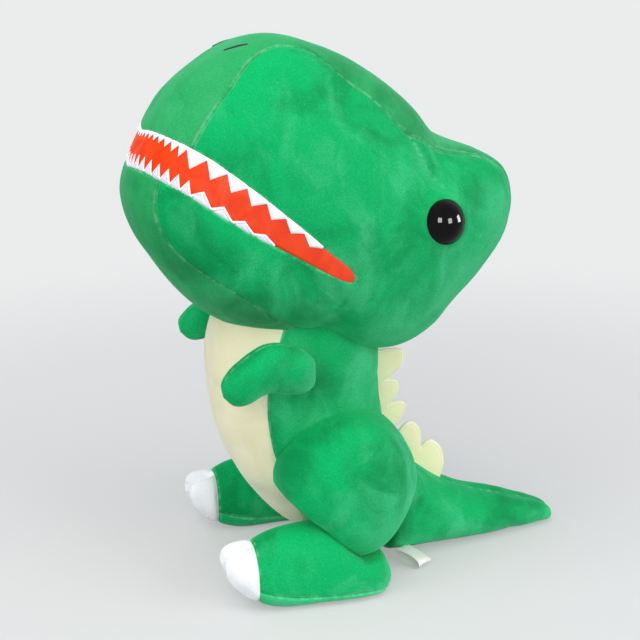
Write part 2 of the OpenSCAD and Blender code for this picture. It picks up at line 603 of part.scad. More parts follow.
// b: 0 outer edge, 90 top, 180 inner edge, 270 underside
function foot_point(y0, b, d, m) =
    let (
        g = ring(b, 2.3), wide = curve(foot_profile, y0, g[0] > 0 ? 1 : 2),
        mid = curve(foot_profile, y0, 4),
        over = max(curve(foot_profile, y0, 3) - mid - d, 0.5),
        under = max(mid - max(curve(foot_profile, y0, 5), 0) - d, 0.3),
        x = max(wide - d, 0.5) * g[0],
        fade = min(max((toe_edge - y0) / 22, 0), 1),
        dip = fade * (1 - min(exp(-pow((x - toe_x) / 9, 2)) + exp(-pow((x + toe_x) / 9, 2)), 1)),
        y = y0 + (y0 > 0 ? -1 : 1) * d * (abs(y0) > 60 ? 1 : 0) + toe_notch * dip,
        z = g[1] >= 0 ? mid + (over - toe_groove * dip) * g[1] : mid + under * max(sole_spread * g[1], -1)
    )
    [m * (foot_x + x), y, g[1] >= 0 ? min(z, saddle(y) - 0.4 - d) : z];
upper_turns = [for (i = [0 : 12]) 15 * i];
lower_turns = [for (i = [12 : 24]) 15 * i];
all_turns = [for (i = [0 : 24]) 15 * i];
cap_rows = [-74, -72, -67, -58, toe_edge];
upper_rows = [toe_edge, -34, -20, 0, 14, 28, fold_y, 50, 58, 67, 71];
function foot_grid(rows, turns, d, m) = [for (y = rows) [for (b = turns) foot_point(y, b, d, m)]];
module toe_cap(m) {
    color(white)
    skin(concat([[for (b = all_turns) let (p = foot_point(-74, 0, 0, m)) [m * foot_x, p[1] + 0.5, p[2]]]],
                foot_grid(cap_rows, all_turns, 0, m)),
         concat([[for (b = all_turns) let (p = foot_point(-74, 0, cloth, m)) [m * foot_x, p[1] + 0.5, p[2]]]],
                foot_grid(cap_rows, all_turns, cloth, m)),
         flip = m < 0, p0 = true, wrap = true);
}
module toe_cap_left() { toe_cap(1); }
module toe_cap_right() { toe_cap(-1); }
module foot_upper(m) {
    color(green)
    skin(foot_grid(upper_rows, upper_turns, 0, m), foot_grid(upper_rows, upper_turns, cloth, m), flip = m < 0);
}
module foot_upper_left() { foot_upper(1); }
module foot_upper_right() { foot_upper(-1); }
module sole_panel(m) {
    color(green)
    skin(foot_grid(upper_rows, lower_turns, 0, m), foot_grid(upper_rows, lower_turns, cloth, m), flip = m < 0);
}
module sole_left() { sole_panel(1); }
module sole_right() { sole_panel(-1); }
module foot_core(m) {
    d = cloth + ease;
    a = foot_point(-74, 0, d, m);
    b = foot_point(71, 0, d, m);
    color(fill) core(concat(
        [[for (t = all_turns) [m * foot_x, a[1] + 0.5, a[2]]]],
        foot_grid(concat(cap_rows, [for (i = [1 : len(upper_rows) - 1]) upper_rows[i]]), all_turns, d, m),
        [[for (t = all_turns) [m * foot_x, b[1] + 0.1, b[2]]]]), flip = m < 0);
}
module foot_stuffing_left() { foot_core(1); }
module foot_stuffing_right() { foot_core(-1); }

// ---------- crest and tag ----------
// a lump from base point a to base point b: round head leaning down, notch below
function back_y(z) = curve(body_profile, z, 2) + 0.4;
function lump(a, b, h, rise = 0.5) =
    let (u = unit(b - a), n = [-u[1], u[0]], l = norm(b - a), o = n[0] > 0 ? n : -n)
    [for (k = [[0.02, 0.62], [0.05, 0.85], [0.16, 0.98], [0.32, 1], [0.5, 0.93], [0.66, 0.76],
               [0.8, 0.5], [0.93, 0.2]]) a + u * l * k[0] + o * h * k[1]];
module strip(outline, half) {
    rotate([90, 0, 90]) linear_extrude(height = 2 * half, center = true)
    polygon([for (p = outline) [p[0] + shift_y, p[1]]]);
}
crest_knots = [[80, 181], [80.5, 152], [84, 127], [91.5, 106]];
// stands clear of the collar at the top
crest_backs = concat([for (z = [110 : 5 : 170]) [back_y(z), z]], [[back_y(174) + 0.2, 173.5], [back_y(175) + 1.8, 175], [back_y(180) + 1.8, 180.5]]);
module spine_crest() {
    color(cream)
    strip(concat(crest_backs,
        lump(crest_knots[0], crest_knots[1], 23),
        lump(crest_knots[1], crest_knots[2], 20),
        lump(crest_knots[2], crest_knots[3], 21)), crest_half);
}
tail_knots = [[97.5, 95], [119, 77.5], [143, 60.5]];
module tail_crest() {
    color(cream)
    strip(concat([for (y = [142 : -5 : 97]) [y, curve(tail_profile, y, 1) + 0.4]],
        lump(tail_knots[0], tail_knots[1], 21),
        lump(tail_knots[1], tail_knots[2], 19)), crest_half);
}
module care_tag() {
    color(white)
    translate([42.6, 94 + shift_y, 10.7])
    rotate([0, 14, 16])
    union() {
        for (z = [0, 0.9]) translate([0, -tag_width / 2, z]) cube([tag_length, tag_width, 0.7]);
        translate([tag_length - 0.7, -tag_width / 2, 0.3]) cube([0.7, tag_width, 1]);
    }
}
// ---------- pieces ----------
// NODES: head_side_left, head_side_right, crown_panel, chin_panel, mouth_lining, upper_teeth, lower_teeth, eye_left,
//   eye_right, eye_washer_left, eye_washer_right, nostril_left, nostril_right, head_stuffing, neck_plug, neck_front,
//   neck_side_left, neck_side_right, neck_stuffing, body_side_left, body_side_right, belly_panel, body_stuffing, spine_crest,
//   arm_skin_left, arm_skin_right, arm_stuffing_left, arm_stuffing_right, thigh_skin_left, thigh_skin_right, thigh_stuffing_left, thigh_stuffing_right,
//   foot_upper_left, foot_upper_right, toe_cap_left, toe_cap_right, sole_left, sole_right, foot_stuffing_left, foot_stuffing_right,
//   tail_skin, tail_stuffing, tail_crest, care_tag
head_side_left();
head_side_right();
crown_panel();
chin_panel();
mouth_lining();
upper_teeth();
lower_teeth();
eye_left();
eye_right();
eye_washer_left();
eye_washer_right();
nostril_left();
nostril_right();
head_stuffing();
neck_plug();
neck_front();
neck_side_left();
neck_side_right();
neck_stuffing();
body_side_left();
body_side_right();
belly_panel();
body_stuffing();
spine_crest();
arm_skin_left();
arm_skin_right();
arm_stuffing_left();
arm_stuffing_right();
thigh_skin_left();
thigh_skin_right();
thigh_stuffing_left();
thigh_stuffing_right();
foot_upper_left();
foot_upper_right();
toe_cap_left();
toe_cap_right();
sole_left();
sole_right();
foot_stuffing_left();
foot_stuffing_right();
tail_skin();
tail_stuffing();
tail_crest();
care_tag();
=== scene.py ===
import json
import logging
import math
from dataclasses import dataclass, field
from enum import Enum
from typing import Callable, Optional, Sequence

import bmesh
import bpy
import numpy as np
from mathutils import Matrix, Vector, noise

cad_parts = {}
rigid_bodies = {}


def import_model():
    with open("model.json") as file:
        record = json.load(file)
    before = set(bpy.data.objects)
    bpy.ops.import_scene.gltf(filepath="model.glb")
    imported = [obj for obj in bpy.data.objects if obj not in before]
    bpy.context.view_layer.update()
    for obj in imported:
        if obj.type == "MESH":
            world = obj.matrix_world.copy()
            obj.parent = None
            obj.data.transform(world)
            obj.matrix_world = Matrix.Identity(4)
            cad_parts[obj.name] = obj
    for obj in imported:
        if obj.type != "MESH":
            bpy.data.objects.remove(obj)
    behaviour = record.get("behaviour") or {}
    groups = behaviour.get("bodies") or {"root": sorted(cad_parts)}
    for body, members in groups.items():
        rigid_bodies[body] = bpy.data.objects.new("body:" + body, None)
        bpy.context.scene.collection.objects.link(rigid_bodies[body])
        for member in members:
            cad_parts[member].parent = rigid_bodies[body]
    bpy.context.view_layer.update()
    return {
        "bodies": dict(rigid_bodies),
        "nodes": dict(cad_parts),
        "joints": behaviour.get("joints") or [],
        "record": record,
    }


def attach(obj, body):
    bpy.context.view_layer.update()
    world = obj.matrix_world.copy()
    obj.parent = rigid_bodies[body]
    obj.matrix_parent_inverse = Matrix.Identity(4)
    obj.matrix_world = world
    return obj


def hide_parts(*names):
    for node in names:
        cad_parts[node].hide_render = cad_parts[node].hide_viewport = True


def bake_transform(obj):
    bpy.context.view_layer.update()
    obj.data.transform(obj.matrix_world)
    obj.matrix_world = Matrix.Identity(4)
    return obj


Array = np.ndarray
Spot = Callable[[Array, Array, Array], Array]
Core = Callable[[Array, Array], Array]
Colour = tuple[float, float, float]

MM = 0.001  # the forms are written in millimetres, the scene is in metres
SHIFT_Y = -64.9  # from the feet's centre to the middle of the object's box
CLOTH = 1.5  # thickness of a plush cut
CORE_DEPTH = 4.6  # how deep the filling lies under the cloth's face
NECK_LINE = 170.0  # height of the seam between the body and the neck
HEAD_MIDDLE = (0, 20, 275)  # a point well inside the head
CREST_STITCH = 2.4  # from a crest's cut edge to its sewn line
SEWN_IN = 2.5  # how deep a crest's foot stands in the seam
HEM = 1.0  # how far the felt teeth reach under the plush
FIRM, SOFT, THIN = 0.9, 0.85, 0.5  # how full a cloth is stuffed
MERGE = 2e-5  # points nearer than this, in metres, become one
log = logging.getLogger("dinosaur")


# ---------- smooth tables and small sums ----------
class Curve:
    """A smooth line through the rows of a table; the first column is the place along it."""

    def __init__(self, rows: Sequence[Sequence[float]]) -> None:
        """Keeps the rows and the slope at each of them.

        Args:
            rows: place, then one or more values, in rising order of place.
        """
        self.rows = np.array(rows, float)
        t = self.rows
        low = np.maximum(np.arange(len(t)) - 1, 0)
        high = np.minimum(np.arange(len(t)) + 1, len(t) - 1)
        self.slopes = (t[high] - t[low]) / (t[high, 0] - t[low, 0])[:, None]

    def at(self, place: Array | float, column: int = 1) -> Array:
        """Reads one column.

        Args:
            place: one or more places along the line.
            column: which value to read.

        Returns:
            The smooth value at each place.
        """
        t = self.rows
        x = np.clip(place, t[0, 0], t[-1, 0])
        i = np.clip(np.searchsorted(t[:, 0], x, side="right") - 1, 0, len(t) - 2)
        h = t[i + 1, 0] - t[i, 0]
        u = (x - t[i, 0]) / h
        return (
            (2 * u**3 - 3 * u**2 + 1) * t[i, column]
            + (u**3 - 2 * u**2 + u) * h * self.slopes[i, column]
            + (3 * u**2 - 2 * u**3) * t[i + 1, column]
            + (u**3 - u**2) * h * self.slopes[i + 1, column]
        )


def cosd(a: Array) -> Array:
    """Cosine of degrees."""
    return np.cos(np.radians(a))


def sind(a: Array) -> Array:
    """Sine of degrees."""
    return np.sin(np.radians(a))


def points(x: Array, y: Array, z: Array) -> Array:
    """Stacks three coordinates into an array of points."""
    return np.stack(np.broadcast_arrays(x, y, z), axis=-1)


def ring(turn: Array, power: float) -> tuple[Array, Array]:
    """A superellipse of unit reach.

    Args:
        turn: degrees round it.
        power: 2 is round, more is squarer.

    Returns:
        Its two coordinates.
    """
    c, s = cosd(turn), sind(turn)
    k = (np.abs(c) ** power + np.abs(s) ** power) ** (-1 / power)
    return c * k, s * k


def soft_max(a: Array, b: Array, width: float) -> Array:
    """The larger of two heights, with the crease rounded over a width."""
    return b + width * np.logaddexp(0, (a - b) / width)


def soft_min(a: Array, b: Array, width: float) -> Array:
    """The smaller of two heights, with the crease rounded over a width."""
    return -soft_max(-a, -b, width)


def smooth_step(x: Array, low: float, high: float) -> Array:
    """0 below low, 1 above high, and an even slope between."""
    t = np.clip((x - low) / (high - low), 0, 1)
    return t * t * (3 - 2 * t)


def drift(p: Array, size: float, seed: float) -> Array:
    """Slow, even noise from -1 to 1 on points.

    Args:
        p: points in millimetres.
        size: size of its waves, in millimetres.
        seed: picks another field.

    Returns:
        One value for each point.
    """
    flat = p.reshape(-1, 3) / size + seed
    return np.array([noise.noise(Vector(q)) for q in flat]).reshape(p.shape[:-1])


def row(p: Sequence[float]) -> Vector:
    """A point of the forms, in millimetres from the feet, as metres in the frame."""
    return Vector((p[0] * MM, (p[1] + SHIFT_Y) * MM, p[2] * MM))


def rows(p: Array) -> Array:
    """Points of the forms as metres in the frame."""
    return (p + np.array([0, SHIFT_Y, 0])) * MM


def hump(x: Array, width: float) -> Array:
    """1 at 0, fading out over a width on both sides."""
    return np.exp(-((x / width) ** 2))


def dome(x: Array) -> Array:
    """Reach of a round end: 1 up to place 0, and nothing from place 1 on."""
    return np.sqrt(np.clip(1 - np.clip(x, 0, 1) ** 2, 0, 1))


def split(u: Array, first: float) -> tuple[Array, Array]:
    """Shares from 0 to 1 along a first stretch and along the rest."""
    return np.clip(u / first, 0, 1), np.clip((u - first) / (1 - first), 0, 1)


def towards(middle: Array, p: Array, share: Array) -> Array:
    """Points at a share of their way from a middle."""
    return middle + (p - middle) * share[..., None]


def on_left(p: Array) -> Array:
    """The points, those of the right side mirrored to the left."""
    return p * np.where(p[..., :1] < 0, [-1, 1, 1], 1)


def line_gap(p: Array, line: Array) -> Array:
    """Shortest way from points to a broken line.

    Args:
        p: points.
        line: the line's corners.

    Returns:
        One distance for each point.
    """
    best = np.full(p.shape[:-1], 1e9)
    for a, b in zip(line[:-1], line[1:]):
        d = b - a
        t = np.clip(((p - a) @ d) / (d @ d), 0, 1)
        best = np.minimum(best, np.linalg.norm(p - a - t[..., None] * d, axis=-1))
    return best


class Side(Enum):
    """The animal's two sides."""

    LEFT = 1
    RIGHT = -1

    @property
    def word(self) -> str:
        """The side's name in the pieces' names."""
        return self.name.lower()

    @property
    def flip(self) -> Array:
        """What turns a left point into one of this side."""
        return np.array([self.value, 1, 1])


# ---------- forms: where the cloth's face runs, in millimetres ----------
@dataclass
class HeadForm:
    """The head: angle a round the mouth's corner, turn t from the centre plane to the cheek."""

    middle_y: float = 31
    middle_z: float = 271
    cheek_x: float = 98
    neck_y: float = 2
    neck_z: float = 143
    neck_r: float = 85.2
    brow_rise: float = 7
    brow_angle: float = 150
    brow_x: float = 52
    brow_width: tuple[float, float] = (9, 22)  # degrees round the head, millimetres across it
    seam_back: float = 240
    mouth_angle: float = 32
    mouth_lift: float = 3.6
    profile: Curve = field(default_factory=lambda: Curve([
        [20, 172], [29, 178], [38, 182], [47, 186], [57, 188], [68, 189],
        [78, 184], [90, 170], [105, 154], [120, 143], [132, 137], [141, 144],
        [148, 157], [155, 169], [163, 171], [172, 163], [183, 144], [198, 124],
        [213, 114], [228, 104], [240, 94], [256, 80], [272, 68], [290, 66],
        [308, 78], [324, 93], [340, 110], [360, 137], [371, 158], [380, 172],
        [389, 178], [400, 182]]))
    squareness: Curve = field(default_factory=lambda: Curve([
        [20, 2.45], [38, 2.6], [90, 2.5], [135, 2.5], [165, 2.3], [200, 2.2],
        [240, 2.1], [280, 1.9], [320, 1.9], [360, 2.4], [400, 2.6]]))
    centre_seam: Curve = field(default_factory=lambda: Curve([
        [20, 66], [38, 65], [48, 63], [60, 56], [70, 42.5], [78, 34.5], [85, 41.5],
        [92, 56], [100, 60], [115, 66], [130, 56], [140, 48], [150, 44], [160, 42],
        [170, 38], [185, 36], [200, 34], [220, 34], [240, 36], [290, 52],
        [310, 62], [330, 72], [345, 78], [357, 76], [366, 66], [375, 57],
        [385, 54], [400, 53]]))
    opening: Curve = field(default_factory=lambda: Curve([
        [0, 0], [3, 4], [8, 5.6], [18, 6.6], [36, 8], [66, 11], [104, 14],
        [130, 15], [200, 15]]))

    def lap(self, a: Array) -> Array:
        """The angle as the tables count it, from 20 to 380."""
        return np.where(np.asarray(a) < 20, np.asarray(a) + 360, a)

    def radius(self, a: Array) -> Array:
        """Reach of the centre profile in a direction."""
        return self.profile.at(self.lap(a))

    def power(self, a: Array) -> Array:
        """Squareness of the cross section in a direction."""
        return self.squareness.at(self.lap(a))

    def reach(self, t: Array, n: Array) -> tuple[Array, Array]:
        """Shares of the profile's reach and of the cheek's at a turn.

        Args:
            t: turn, in degrees.
            n: squareness of the cross section.

        Returns:
            The profile's share and the cheek's.
        """
        c, s = np.maximum(cosd(t), 1e-6), np.maximum(np.abs(sind(t)), 1e-6)
        k = (c**n + s**n) ** (-1 / n)
        return c * k, np.where(np.asarray(t) < 0, -1, 1) * s * k

    def at(self, a: Array, t: Array, d: Array | float = 0.0) -> Array:
        """The head's face.

        Args:
            a: angle round the mouth's corner, 0 front and 90 up.
            t: turn, 0 on the centre plane and 90 at the corner.
            d: depth under the face.

        Returns:
            Points.
        """
        a, t = np.asarray(a, float), np.asarray(t, float)
        w, side = self.reach(t, self.power(a))
        x = (self.cheek_x - d) * side
        hill = self.brow_rise / np.maximum(w, 0.3) * np.exp(
            -(((self.lap(a) - self.brow_angle) / self.brow_width[0]) ** 2)
            - ((np.abs(x) - self.brow_x) / self.brow_width[1]) ** 2)
        r = self.radius(a) - d + np.where(w < 0.3, 0, hill)
        y = self.middle_y - r * w * cosd(a)
        z = self.middle_z + r * w * sind(a)
        q = (self.neck_r + d) ** 2 - x * x - (y - self.neck_y) ** 2
        ball = np.where(q > 0, self.neck_z + np.sqrt(np.maximum(q, 0)), -1)
        return points(x, y, soft_max(z, ball, 0.5))

    def seam_turn(self, a: Array) -> Array:
        """Turn of the seam between the middle panels and the side panels.

        Args:
            a: angle round the mouth's corner.

        Returns:
            Turns in degrees.
        """
        n = self.power(a)
        g = np.minimum(self.centre_seam.at(self.lap(a)) / self.cheek_x, 0.999)
        return np.degrees(np.arctan2(g, (1 - g**n) ** (1 / n)))

    def mouth_mid(self, t: Array) -> Array:
        """Angle of the mouth's middle line."""
        return self.mouth_angle + self.mouth_lift * np.minimum(np.abs(t) / 45, 1)

    def mouth_half(self, t: Array) -> Array:
        """Half the angle that the mouth is open by.

        Args:
            t: turn, in degrees.

        Returns:
            Angles in degrees.
        """
        a = self.mouth_mid(t)
        s = np.maximum(self.radius(a) * self.reach(t, self.power(a))[0], 0.001)
        return np.degrees(np.arcsin(np.minimum(self.opening.at(s) / s, 0.99)))

    def upper_lip(self, t: Array) -> Array:
        """Angle of the upper lip."""
        return self.mouth_mid(t) + self.mouth_half(t)

    def lower_lip(self, t: Array) -> Array:
        """Angle of the lower lip, counted on past the back of the head."""
        return 360 + self.mouth_mid(t) - self.mouth_half(t)

    def row_angle(self, u: Array, t: Array) -> Array:
        """Angle of row u: 0 upper lip, 1 the back seam, 2 lower lip.

        Args:
            u: row.
            t: turn, in degrees.

        Returns:
            Angles round the mouth's corner.
        """
        up, lo = self.upper_lip(t), self.lower_lip(t)
        return np.where(u <= 1, up + (self.seam_back - up) * u,
                        self.seam_back + (lo - self.seam_back) * (u - 1))

    def on_row(self, u: Array, turn_of: Callable[[Array], Array], d: Array) -> Array:
        """Points of row u, found by steps because the row's angle and the seam's turn hang together.

        Args:
            u: 0 upper lip, 1 the back seam, 2 lower lip.
            turn_of: gives the points' turn from the turn of the seam.
            d: depth under the face.

        Returns:
            Points.
        """
        a = self.row_angle(u, np.full_like(u, 30.0))
        for _ in range(7):
            a = self.row_angle(u, turn_of(self.seam_turn(a)))
        return self.at(a, turn_of(self.seam_turn(a)), d)

    def side_spot(self, u: Array, v: Array, d: Array) -> Array:
        """Left side panel: u 0 to 2 round the head, v 0 at the seam and 1 at the mouth's corner."""
        return self.on_row(u, lambda seam: seam + (90 - seam) * v, d)

    def centre_spot(self, u: Array, v: Array, d: Array) -> Array:
        """Crown (u 0 to 1) and chin (u 1 to 2) panels: v -1 to 1 from seam to seam."""
        return self.on_row(u, lambda seam: v * seam, d)

    def lip_spot(self, t: Array, upper: bool, lift: Array | float, drop: Array | float) -> Array:
        """A point near a lip.

        Args:
            t: turn along the lip.
            upper: the upper lip, or the lower one.
            lift: height above the face.
            drop: way from the lip into the mouth.

        Returns:
            Points.
        """
        sign = 1 if upper else -1
        edge = self.upper_lip(t) if upper else self.lower_lip(t) - 360
        s = np.maximum(self.radius(self.mouth_mid(t)) * self.reach(t, self.power(30))[0], 1)
        a = edge - sign * np.degrees(np.arcsin(np.clip(drop / s, -0.9, 0.9)))
        return self.at(a, t, -np.asarray(lift, float))

    def under(self, x: Array, y: Array) -> Array:
        """Height of the head's underside above a spot.

        Args:
            x: place across the head.
            y: place along the head.

        Returns:
            Heights.
        """
        def reach(a: Array) -> Array:
            """The head's reach in a direction, at this place across it."""
            n = self.power(a)
            return self.radius(a) * (1 - np.minimum(np.abs(x) / self.cheek_x, 0.999) ** n) ** (1 / n)

        lo, hi = np.full(np.shape(x), 240.0), np.full(np.shape(x), 352.0)
        for _ in range(18):
            a = (lo + hi) / 2
            back = self.middle_y - reach(a) * cosd(a) > y
            lo, hi = np.where(back, a, lo), np.where(back, hi, a)
        return self.middle_z + reach(lo) * sind(lo)


@dataclass
class BodyForm:
    """The body: rings at each height, turn 0 in front and 180 at the back."""

    power: float = 2.4
    profile: Curve = field(default_factory=lambda: Curve([
        [24, 22, 50, 10], [30, 8, 62, 22], [40, -6, 80, 30], [60, -24, 98, 41],
        [85, -41, 98, 55], [115, -55, 89, 61], [150, -63, 81, 64],
        [178, -66, 79, 67], [200, -65, 79, 66], [219, -60, 78, 63],
        [245, -50, 70, 55]]))
    belly_edge: Curve = field(default_factory=lambda: Curve([
        [24, 56], [60, 58], [120, 58], [180, 62], [230, 70]]))

    def at(self, z: Array, t: Array, d: Array | float = 0.0) -> Array:
        """The body's face at a height and a turn, at a depth under it.

        Args:
            z: height.
            t: turn, 0 in front.
            d: depth under the face.

        Returns:
            Points.
        """
        f, b, w = (self.profile.at(z, c) for c in (1, 2, 3))
        g0, g1 = ring(t, self.power)
        return points((w - d) * g1, (f + b) / 2 - ((b - f) / 2 - d) * g0, z)

    def back(self, z: Array) -> Array:
        """How far back the body reaches at a height."""
        return self.profile.at(z, 2)

    def flank(self, y: Array, z: Array) -> Array:
        """Half width of the body at a spot of its side.

        Args:
            y: place from front to back.
            z: height.

        Returns:
            Half widths.
        """
        f, b, w = (self.profile.at(z, c) for c in (1, 2, 3))
        q = 1 - np.minimum(np.abs(y - (f + b) / 2) / ((b - f) / 2), 1) ** self.power
        return np.maximum(w * q ** (1 / self.power), 36)


@dataclass
class TailForm:
    """The tail: rings along it, turn 0 on top."""

    power: float = 2.5
    profile: Curve = field(default_factory=lambda: Curve([
        [66, 94, 50], [80, 99, 54], [91, 96, 54], [105, 86, 52], [125, 70, 47],
        [145, 56, 42], [177, 41, 35], [213, 30, 27], [240, 21.5, 20], [253, 15.5, 13], [259, 9, 5]]))

    def at(self, y: Array, t: Array, d: Array | float = 0.0) -> Array:
        """The tail's face at a place along it and a turn, at a depth under it.

        Args:
            y: place along the tail.
            t: turn, 0 on top.
            d: depth under the face.

        Returns:
            Points.
        """
        top, w = self.profile.at(y, 1), self.profile.at(y, 2)
        g0, g1 = ring(t, self.power)
        return points(np.maximum(w - d, 0.4) * g1, y, np.maximum(top / 2 - d, 0.4) * g0 + top / 2)

    def top(self, y: Array) -> Array:
        """Height of the tail's top."""
        return self.profile.at(y, 1)


@dataclass
class ArmForm:
    """An arm: rings along its stations from the shoulder to the hand."""

    middle_x: float = 84.0
    path: Curve = field(default_factory=lambda: Curve([
        [0, 3, 195, 2, 2, 0], [1, 0, 195, 11, 13, 0], [2, -8, 196.5, 16, 18, 0],
        [3, -20, 200, 16.5, 20.5, 0], [4, -32, 202.5, 16.5, 20.5, 1],
        [5, -46, 198, 16, 18, 3], [6, -59, 190.5, 15, 16, 5],
        [7, -68, 186, 11, 11, 6], [8, -72, 184, 2, 2, 6]]))

    def at(self, s: Array, t: Array, d: Array | float = 0.0) -> Array:
        """The arm's face at a station and a turn, at a depth under it.

        Args:
            s: station, 0 at the shoulder and 8 at the hand.
            t: turn, in degrees.
            d: depth under the face.

        Returns:
            Points.
        """
        read = self.path.at
        y, z = read(s, 1), read(s, 2)
        ay, az = read(s + 0.05, 1) - read(s - 0.05, 1), read(s + 0.05, 2) - read(s - 0.05, 2)
        n = np.maximum(np.hypot(ay, az), 1e-9)
        g0, g1 = ring(t, 2.2)
        w, h = np.maximum(read(s, 3) - d, 0.1), np.maximum(read(s, 4) - d, 0.1)
        return points(self.middle_x + read(s, 5) + w * g1, y - az / n * h * g0, z + ay / n * h * g0)


@dataclass
class LegForm:
    """A thigh with its foot: they meet on a fold line."""

    thigh_y: float = 33
    thigh_z: float = 90
    thigh_out: float = 109
    foot_x: float = 76
    fold_y: float = 41.7
    fold_z: float = 31
    fold_gap: float = 0.6  # how far the thigh and the foot run past the fold, into each other
    fold_slope: float = 0.917
    toe_edge: float = -48
    toe_depth: float = 15  # how far before the edge the notches are full
    toe_x: float = 12
    toe_notch: float = 15
    toe_groove: float = 9
    toe_width: float = 7.5
    toe_flank: float = 0.4
    spread: float = 1.25
    profile: Curve = field(default_factory=lambda: Curve([
        [-30, 54], [0, 55], [14, 57], [30, 58], [60, 59], [90, 61], [120, 62],
        [150, 64.5], [180, 68.5], [210, 69], [240, 74], [265, 76], [285, 66],
        [305, 53], [330, 54], [360, 55], [374, 57], [390, 58]]))
    foot: Curve = field(default_factory=lambda: Curve([
        [-74, 5, 4, 41, 37, 33], [-72, 17, 14, 46, 35, 27], [-67, 24, 19, 50, 31, 20],
        [-58, 28, 23, 52, 25, 12], [-48, 29, 24, 53, 20, 6], [-34, 30, 25, 58, 15, 1.5],
        [-20, 31, 26, 61, 12, 0], [0, 32, 26, 63, 10, 0], [20, 33, 26, 63, 9, 0],
        [40, 32, 25, 50, 8, 0], [56, 28, 23, 40, 7, 0], [66, 18, 15, 27, 7, 1],
        [70, 9, 8, 15, 6, 3], [71, 3, 3, 8, 5.5, 4]]))

    def saddle(self, y: Array) -> Array:
        """Height of the fold between the thigh and the foot."""
        rise = self.fold_slope * (self.fold_y - y)
        return soft_max(self.fold_z + rise, np.asarray(float(self.fold_z)), 1.0)

    def thigh(self, body: BodyForm, a: Array, t: Array, d: Array | float = 0.0) -> Array:
        """The left thigh's face.

        Args:
            body: the body that it stands against.
            a: angle round it, 0 front and 90 up.
            t: 0 at its rim on the body and 90 in its middle.
            d: depth under the face.

        Returns:
            Points.
        """
        f, g = ring(np.clip(t, 0, 89.999), 2.4)
        r = self.profile.at(np.where(a < -30, a + 360, a)) - d
        y = self.thigh_y - r * f * cosd(a)
        z = soft_max(self.thigh_z + r * f * sind(a), self.saddle(y) - self.fold_gap + d, 1.5)
        x0 = body.flank(y, z) - 2.5 + d
        return points(x0 + (self.thigh_out - d - x0) * g, y, z)

    def between_toes(self, x: Array) -> Array:
        """How far a place across the foot lies off the middle of its toe, from 0 to 1."""
        off = np.abs(x) - self.toe_x
        return np.where(off < 0, 1 - hump(off, self.toe_width), self.toe_flank * (1 - hump(off, 9)))

    def pressed(self, y0: Array, x: Array) -> Array:
        """How far the notch between the toes is pressed in, from 0 to 1."""
        return np.clip((self.toe_edge - y0) / self.toe_depth, 0, 1) * self.between_toes(x)

    def foot_at(self, y0: Array, b: Array, d: Array | float = 0.0) -> Array:
        """The left foot's face.

        Args:
            y0: place along the foot.
            b: turn, 0 outer edge, 90 top, 180 inner edge, 270 underside.
            d: depth under the face.

        Returns:
            Points.
        """
        read = self.foot.at
        g0, g1 = ring(b, 2.3)
        wide = read(y0, 1) * smooth_step(g0, -0.05, 0.05) + read(y0, 2) * smooth_step(-g0, -0.05, 0.05)
        mid = read(y0, 4)
        over = np.maximum(read(y0, 3) - mid - d, 0.3)
        under = np.maximum(mid - np.maximum(read(y0, 5), 0) - d, 0.2)
        x = np.maximum(wide - d, 0.3) * g0
        dip = self.pressed(y0, x)
        y = y0 + np.where(y0 > 0, -1, 1) * d * (np.abs(y0) > 60) + self.toe_notch * dip
        top = soft_min(mid + (over - self.toe_groove * dip) * g1, self.saddle(y) + self.fold_gap - d, 1.5)
        low = mid + under * np.maximum(self.spread * g1, -1)
        return points(self.foot_x + x, y, np.where(g1 >= 0, top, low))


# ---------- cloth cuts ----------
@dataclass(frozen=True)
class Sewing:
    """One edge of a cut: how far its seam draws it in, over what width, and how much it puckers."""

    drawn: float = 1.6
    width: float = 2.0
    pucker: float = 0.6


SEWN = Sewing()
LIP = Sewing(0.7, 1.6, 0.1)
OPEN = Sewing(0.0, 1.0, 0.0)
SEAM_LINE = 1.6  # width of a seam's mark, in millimetres; the plush paints painted shade in its groove and painted sheen beside it
GATHER_AT, GATHER_WIDTH = 3, 6  # where the cloth gathers beside a seam, in millimetres
GATHER_SIZE = 7.0  # size of the gathers along the seam, in millimetres
RIPPLES = (34.0, 13.0)  # sizes of the slow and the fine waves of a cloth's face, in millimetres
POLE = 0.5  # an edge shorter than this, in millimetres, is one point
POLE_FADE = (4, 32)  # from such a point, in millimetres, where the filling's push sets in and is full
TRIAL_CELL = 6  # the cloth is blown out in cells of about this size, in millimetres
TRIAL_CELLS = (6, 64)  # the fewest and the most of them along an edge
TRIAL_MERGE = 0.0012  # points of that cloth nearer than this, in metres, become one
TRIAL_FRAMES = 20
PLUSH_CLOTH = {"quality": 4, "mass": 0.15, "tension_stiffness": 12, "compression_stiffness": 12,
               "shear_stiffness": 6, "bending_stiffness": 0.6, "air_damping": 2, "use_pressure": True,
               "uniform_pressure_force": 4, "shrink_min": -0.015}


def cubic_weights(places: Array, count: int) -> Array:
    """Weights that read a row of even samples smoothly.

    Args:
        places: where to read, from 0 to 1.
        count: how many samples there are.

    Returns:
        One row of weights for each place.
    """
    x = np.clip(places, 0, 1) * (count - 1)
    i = np.clip(np.floor(x).astype(int), 0, count - 2)
    u = x - i
    table = np.zeros((len(places), count))
    share = [(-u + 2 * u**2 - u**3) / 2, (2 - 5 * u**2 + 3 * u**3) / 2,
             (u + 4 * u**2 - 3 * u**3) / 2, (-(u**2) + u**3) / 2]
    for k, w in enumerate(share):
        np.add.at(table, (np.arange(len(places)), np.clip(i + k - 1, 0, count - 1)), w)
    return table


